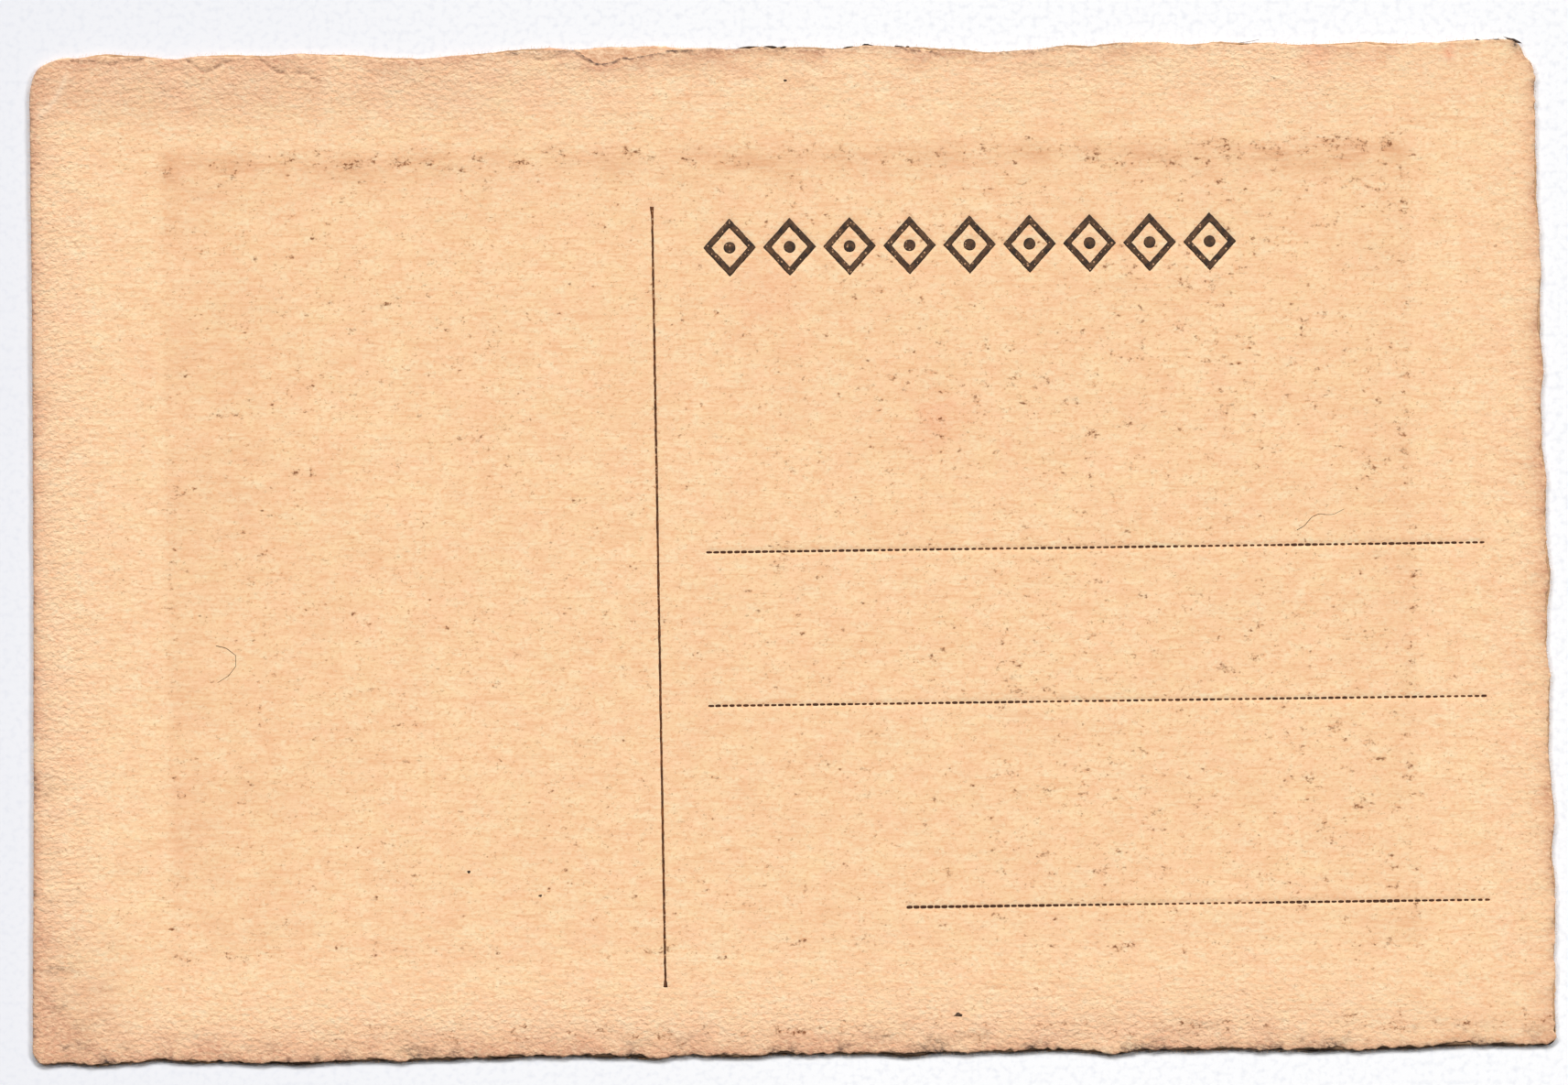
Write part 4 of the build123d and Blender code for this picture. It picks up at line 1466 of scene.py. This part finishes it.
def beaded_line(name, node, heavy, blot, seed):
    """A row of beads in the places of a CAD node's own. It starts heavy, and one bead may hold a blot."""
    boxes = np.array([(loop.min(0), loop.max(0)) for loop in print_loops[node]])
    boxes = boxes[np.argsort(boxes[:, 0, 0])]
    middles = boxes.mean(1)
    length, height = np.median(boxes[:, 1] - boxes[:, 0], axis=0)
    pitch = (middles[-1] - middles[0]) / (len(middles) - 1)
    start = (*(middles[0] * MM).tolist(), PRINT_FLOOR * MM)
    piece = recipe.make(
        name, bead_mesh(length, height), "letterpress_ink",
        Count=len(middles), Start=start, Pitch=(*(pitch * MM).tolist(), 0.0),
        Heavy=heavy, Blot=blot, Ragged=BEAD_RAGGED * MM, Seed=seed, Finish=line_ink,
    )
    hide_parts(node)
    print(name + ":", len(middles), "beads,", len(piece.data.polygons), "faces")


beaded_line("printed_upper_line", "upper_address_line", heavy=1.0, blot=NO_BLOT, seed=1)
beaded_line("printed_middle_line", "middle_address_line", heavy=1.0, blot=NO_BLOT, seed=2)
beaded_line("printed_lower_line", "lower_address_line", heavy=1.3, blot=68.0, seed=3)

# %% [markdown]
# ## Paste and picture inks
# The paste between the plies and the flat tints of the picture are right as they come from the CAD model,
# so they keep their shape and only get a finish. The tints are lithographed: each is broken by the grain
# of the stone, which lets a little of the paper through.

# %% Paste and tints
LITHO_GRAIN = 0.34
PASTE_PALE = srgb(222, 189, 148)
PASTE_DEEP = srgb(196, 158, 114)
PASTE_NODES = ("upper_paste_film", "lower_paste_film")
TINTS = {
    "picture_border": ("border_ink", srgb(82, 66, 54), srgb(58, 46, 38)),
    "picture_sky": ("sky_tint", srgb(231, 205, 168), srgb(214, 184, 146)),
    "picture_far_ridge": ("ridge_tint", srgb(173, 155, 141), srgb(150, 133, 120)),
    "picture_near_hill": ("hill_tint", srgb(135, 124, 101), srgb(108, 98, 78)),
    "picture_meadow": ("meadow_tint", srgb(161, 139, 94), srgb(133, 113, 72)),
    "picture_trees": ("tree_tint", srgb(78, 71, 54), srgb(58, 52, 40)),
}


def tint_finish(name, light, dark):
    """A flat tint with clouds, the grain of the stone and a few rubbed specks."""
    tint = Finish(name, roughness=0.8, gloss=0.2)
    tone = tint.mix(tint.span(tint.noise(6.0, detail=3.0), 0.35, 0.65), light, dark)
    stone = tint.span(tint.noise(LITHO_GRAIN, detail=1.0, shift=1), 0.5, 0.68, 0.0, 0.6)
    tone = tint.mix(stone, tone, WARM)
    rubbed = tint.specks(cell=1.6, radius=0.3, share=0.12, shift=2)
    tint.bump(tint.noise(0.25, shift=3), 0.006)
    return tint.colour(tint.mix(tint.product(rubbed, 0.7), tone, WARM))


paste = Finish("paste", roughness=0.6, gloss=0.3)
tone = paste.mix(paste.span(paste.noise(2.5, detail=3.0), 0.35, 0.65), PASTE_PALE, PASTE_DEEP)
paste.bump(paste.noise(0.4), 0.01)
paste_finish = paste.colour(tone)
for node in PASTE_NODES:
    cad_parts[node].material_slots[0].material = paste_finish
for node, (slot, light, dark) in TINTS.items():
    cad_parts[node].material_slots[0].material = tint_finish(slot, light, dark)
print("CAD nodes with a new finish:", len(TINTS) + len(PASTE_NODES))

# %% [markdown]
# ## Stray hairs
# A hundred years of handling leave dust. A few dark hairs stick to the paper. They are real little things
# that lie on top of it, so they are modelled and not painted. A curve with a bevel would do, but points
# and faces are joined to the other dust more easily. A hair is a thin tube along a few points.

# %% Hairs
HAIRS = (
    ((47.1, 1.4), (47.8, 1.8), (48.5, 2.6), (49.2, 2.9),
     (49.8, 2.8), (50.5, 2.8), (50.9, 3.0), (51.5, 3.3)),
    ((-53.0, -8.0), (-52.1, -8.2), (-51.2, -8.9), (-51.2, -9.9), (-51.9, -10.8), (-52.9, -11.4)),
    ((42.3, 46.5), (43.2, 46.6), (44.2, 46.8)),
)
HAIR_RADIUS = 0.03
HAIR_STEP = 0.25
HAIR_SIDES = 5


def hair_tube(points):
    """Points and faces of a tapering tube that lies on the paper along a line through a few points."""
    line, along, right = walked(np.array(points), HAIR_STEP)
    taper = HAIR_RADIUS * (1 - 0.5 * along / along[-1])
    sides = []
    for angle in np.arange(HAIR_SIDES) * 2 * np.pi / HAIR_SIDES:
        flat = line + right * (taper * math.cos(angle))[:, None]
        sides.append(np.column_stack([flat, ADDRESS_LEVEL + taper * math.sin(angle)]))
    return stacked(list(np.stack(sides, axis=1)))


dust_parts = [hair_tube(points) for points in HAIRS]
print("hairs:", len(dust_parts))

# %% [markdown]
# ## Flecks and crumbs
# Flecks are flat ragged blobs, and each lies on the paper at the height that the face has there. Crumbs
# are blobs that cling to the bare rim of the core along the head edge, and each is turned to follow that
# edge. All the dust becomes one piece with one dark finish.

# %% Flecks and crumbs
FLECKS = ((-29.9, -29.2, 0.2), (-23.3, -31.5, 0.17), (15.2, -43.0, 0.42), (0.3, 43.6, 0.18))
CRUMBS = ((-3.3, 1.1, 0.13), (-0.9, 0.75, 0.12), (0.2, 0.4, 0.1), (6.3, 0.6, 0.08), (8.0, 0.5, 0.15),
          (10.8, 0.55, 0.08), (11.7, 0.2, 0.07), (64.4, 0.25, 0.1), (65.9, 0.55, 0.09), (67.5, 0.85, 0.17))
BLOB_SIDES = 9
BLOB_SPREAD = (0.55, 1.25)
BLOB_STEPS = ((1.0, -1.0), (0.9, 0.5), (0.45, 1.0))
FLECK_SHAPE = (1.0, 0.7)
FLECK_RISE = 0.02
FLECK_LIFT = 0.008
CRUMB_RISE = 0.04
DUST_DARK = srgb(34, 27, 23)
DUST_BROWN = srgb(92, 72, 58)


def blob(middle, reach, level, rise, seed):
    """Points and faces of a flat ragged blob."""
    spread = np.random.default_rng(seed).uniform(*BLOB_SPREAD, BLOB_SIDES)
    angles = np.arange(BLOB_SIDES) * 2 * np.pi / BLOB_SIDES
    ring = np.column_stack([np.cos(angles), np.sin(angles)]) * spread[:, None] * reach
    return stacked([at_level(ring * share + middle, level + rise * step) for share, step in BLOB_STEPS])


for seed, (x, y, radius) in enumerate(FLECKS, 90):
    under = address_height[np.hypot(*(address_places - (x, y)).T).argmin()]
    reach = [radius * share for share in FLECK_SHAPE]
    dust_parts.append(blob((x, y), reach, under + FLECK_LIFT, FLECK_RISE, seed))
head_line = core_edge[core_edge[:, 1] > HEAD_FROM]
for seed, (x, half_length, half_height) in enumerate(CRUMBS, 110):
    nearest = int(abs(head_line[:, 0] - x).argmin())
    slope = head_line[nearest - 2] - head_line[nearest + 2]
    points, faces = blob((0.0, 0.0), (half_length, half_height), CORE_TOP, CRUMB_RISE, seed)
    degrees = -math.degrees(math.atan2(slope[1], slope[0]))
    points[:, :2] = turned(points[:, :2], degrees) + head_line[nearest]
    dust_parts.append((points, faces))
dust_points = np.vstack([points for points, _ in dust_parts])
dust_faces = []
dust_start = 0
for points, faces in dust_parts:
    dust_faces += shifted(faces, dust_start)
    dust_start += len(points)
dust = Finish("dust", roughness=0.85, gloss=0.15)
tone = dust.mix(dust.span(dust.noise(0.5), 0.35, 0.65), DUST_DARK, DUST_BROWN)
new_piece("stray_dust", dust_points, dust_faces, dust.colour(tone))
print("dust:", len(dust_parts), "bits,", len(dust_faces), "faces")

# %% [markdown]
# ## Size
# The dressed card is meant to keep the size of the CAD model, whose box is printed at the start.
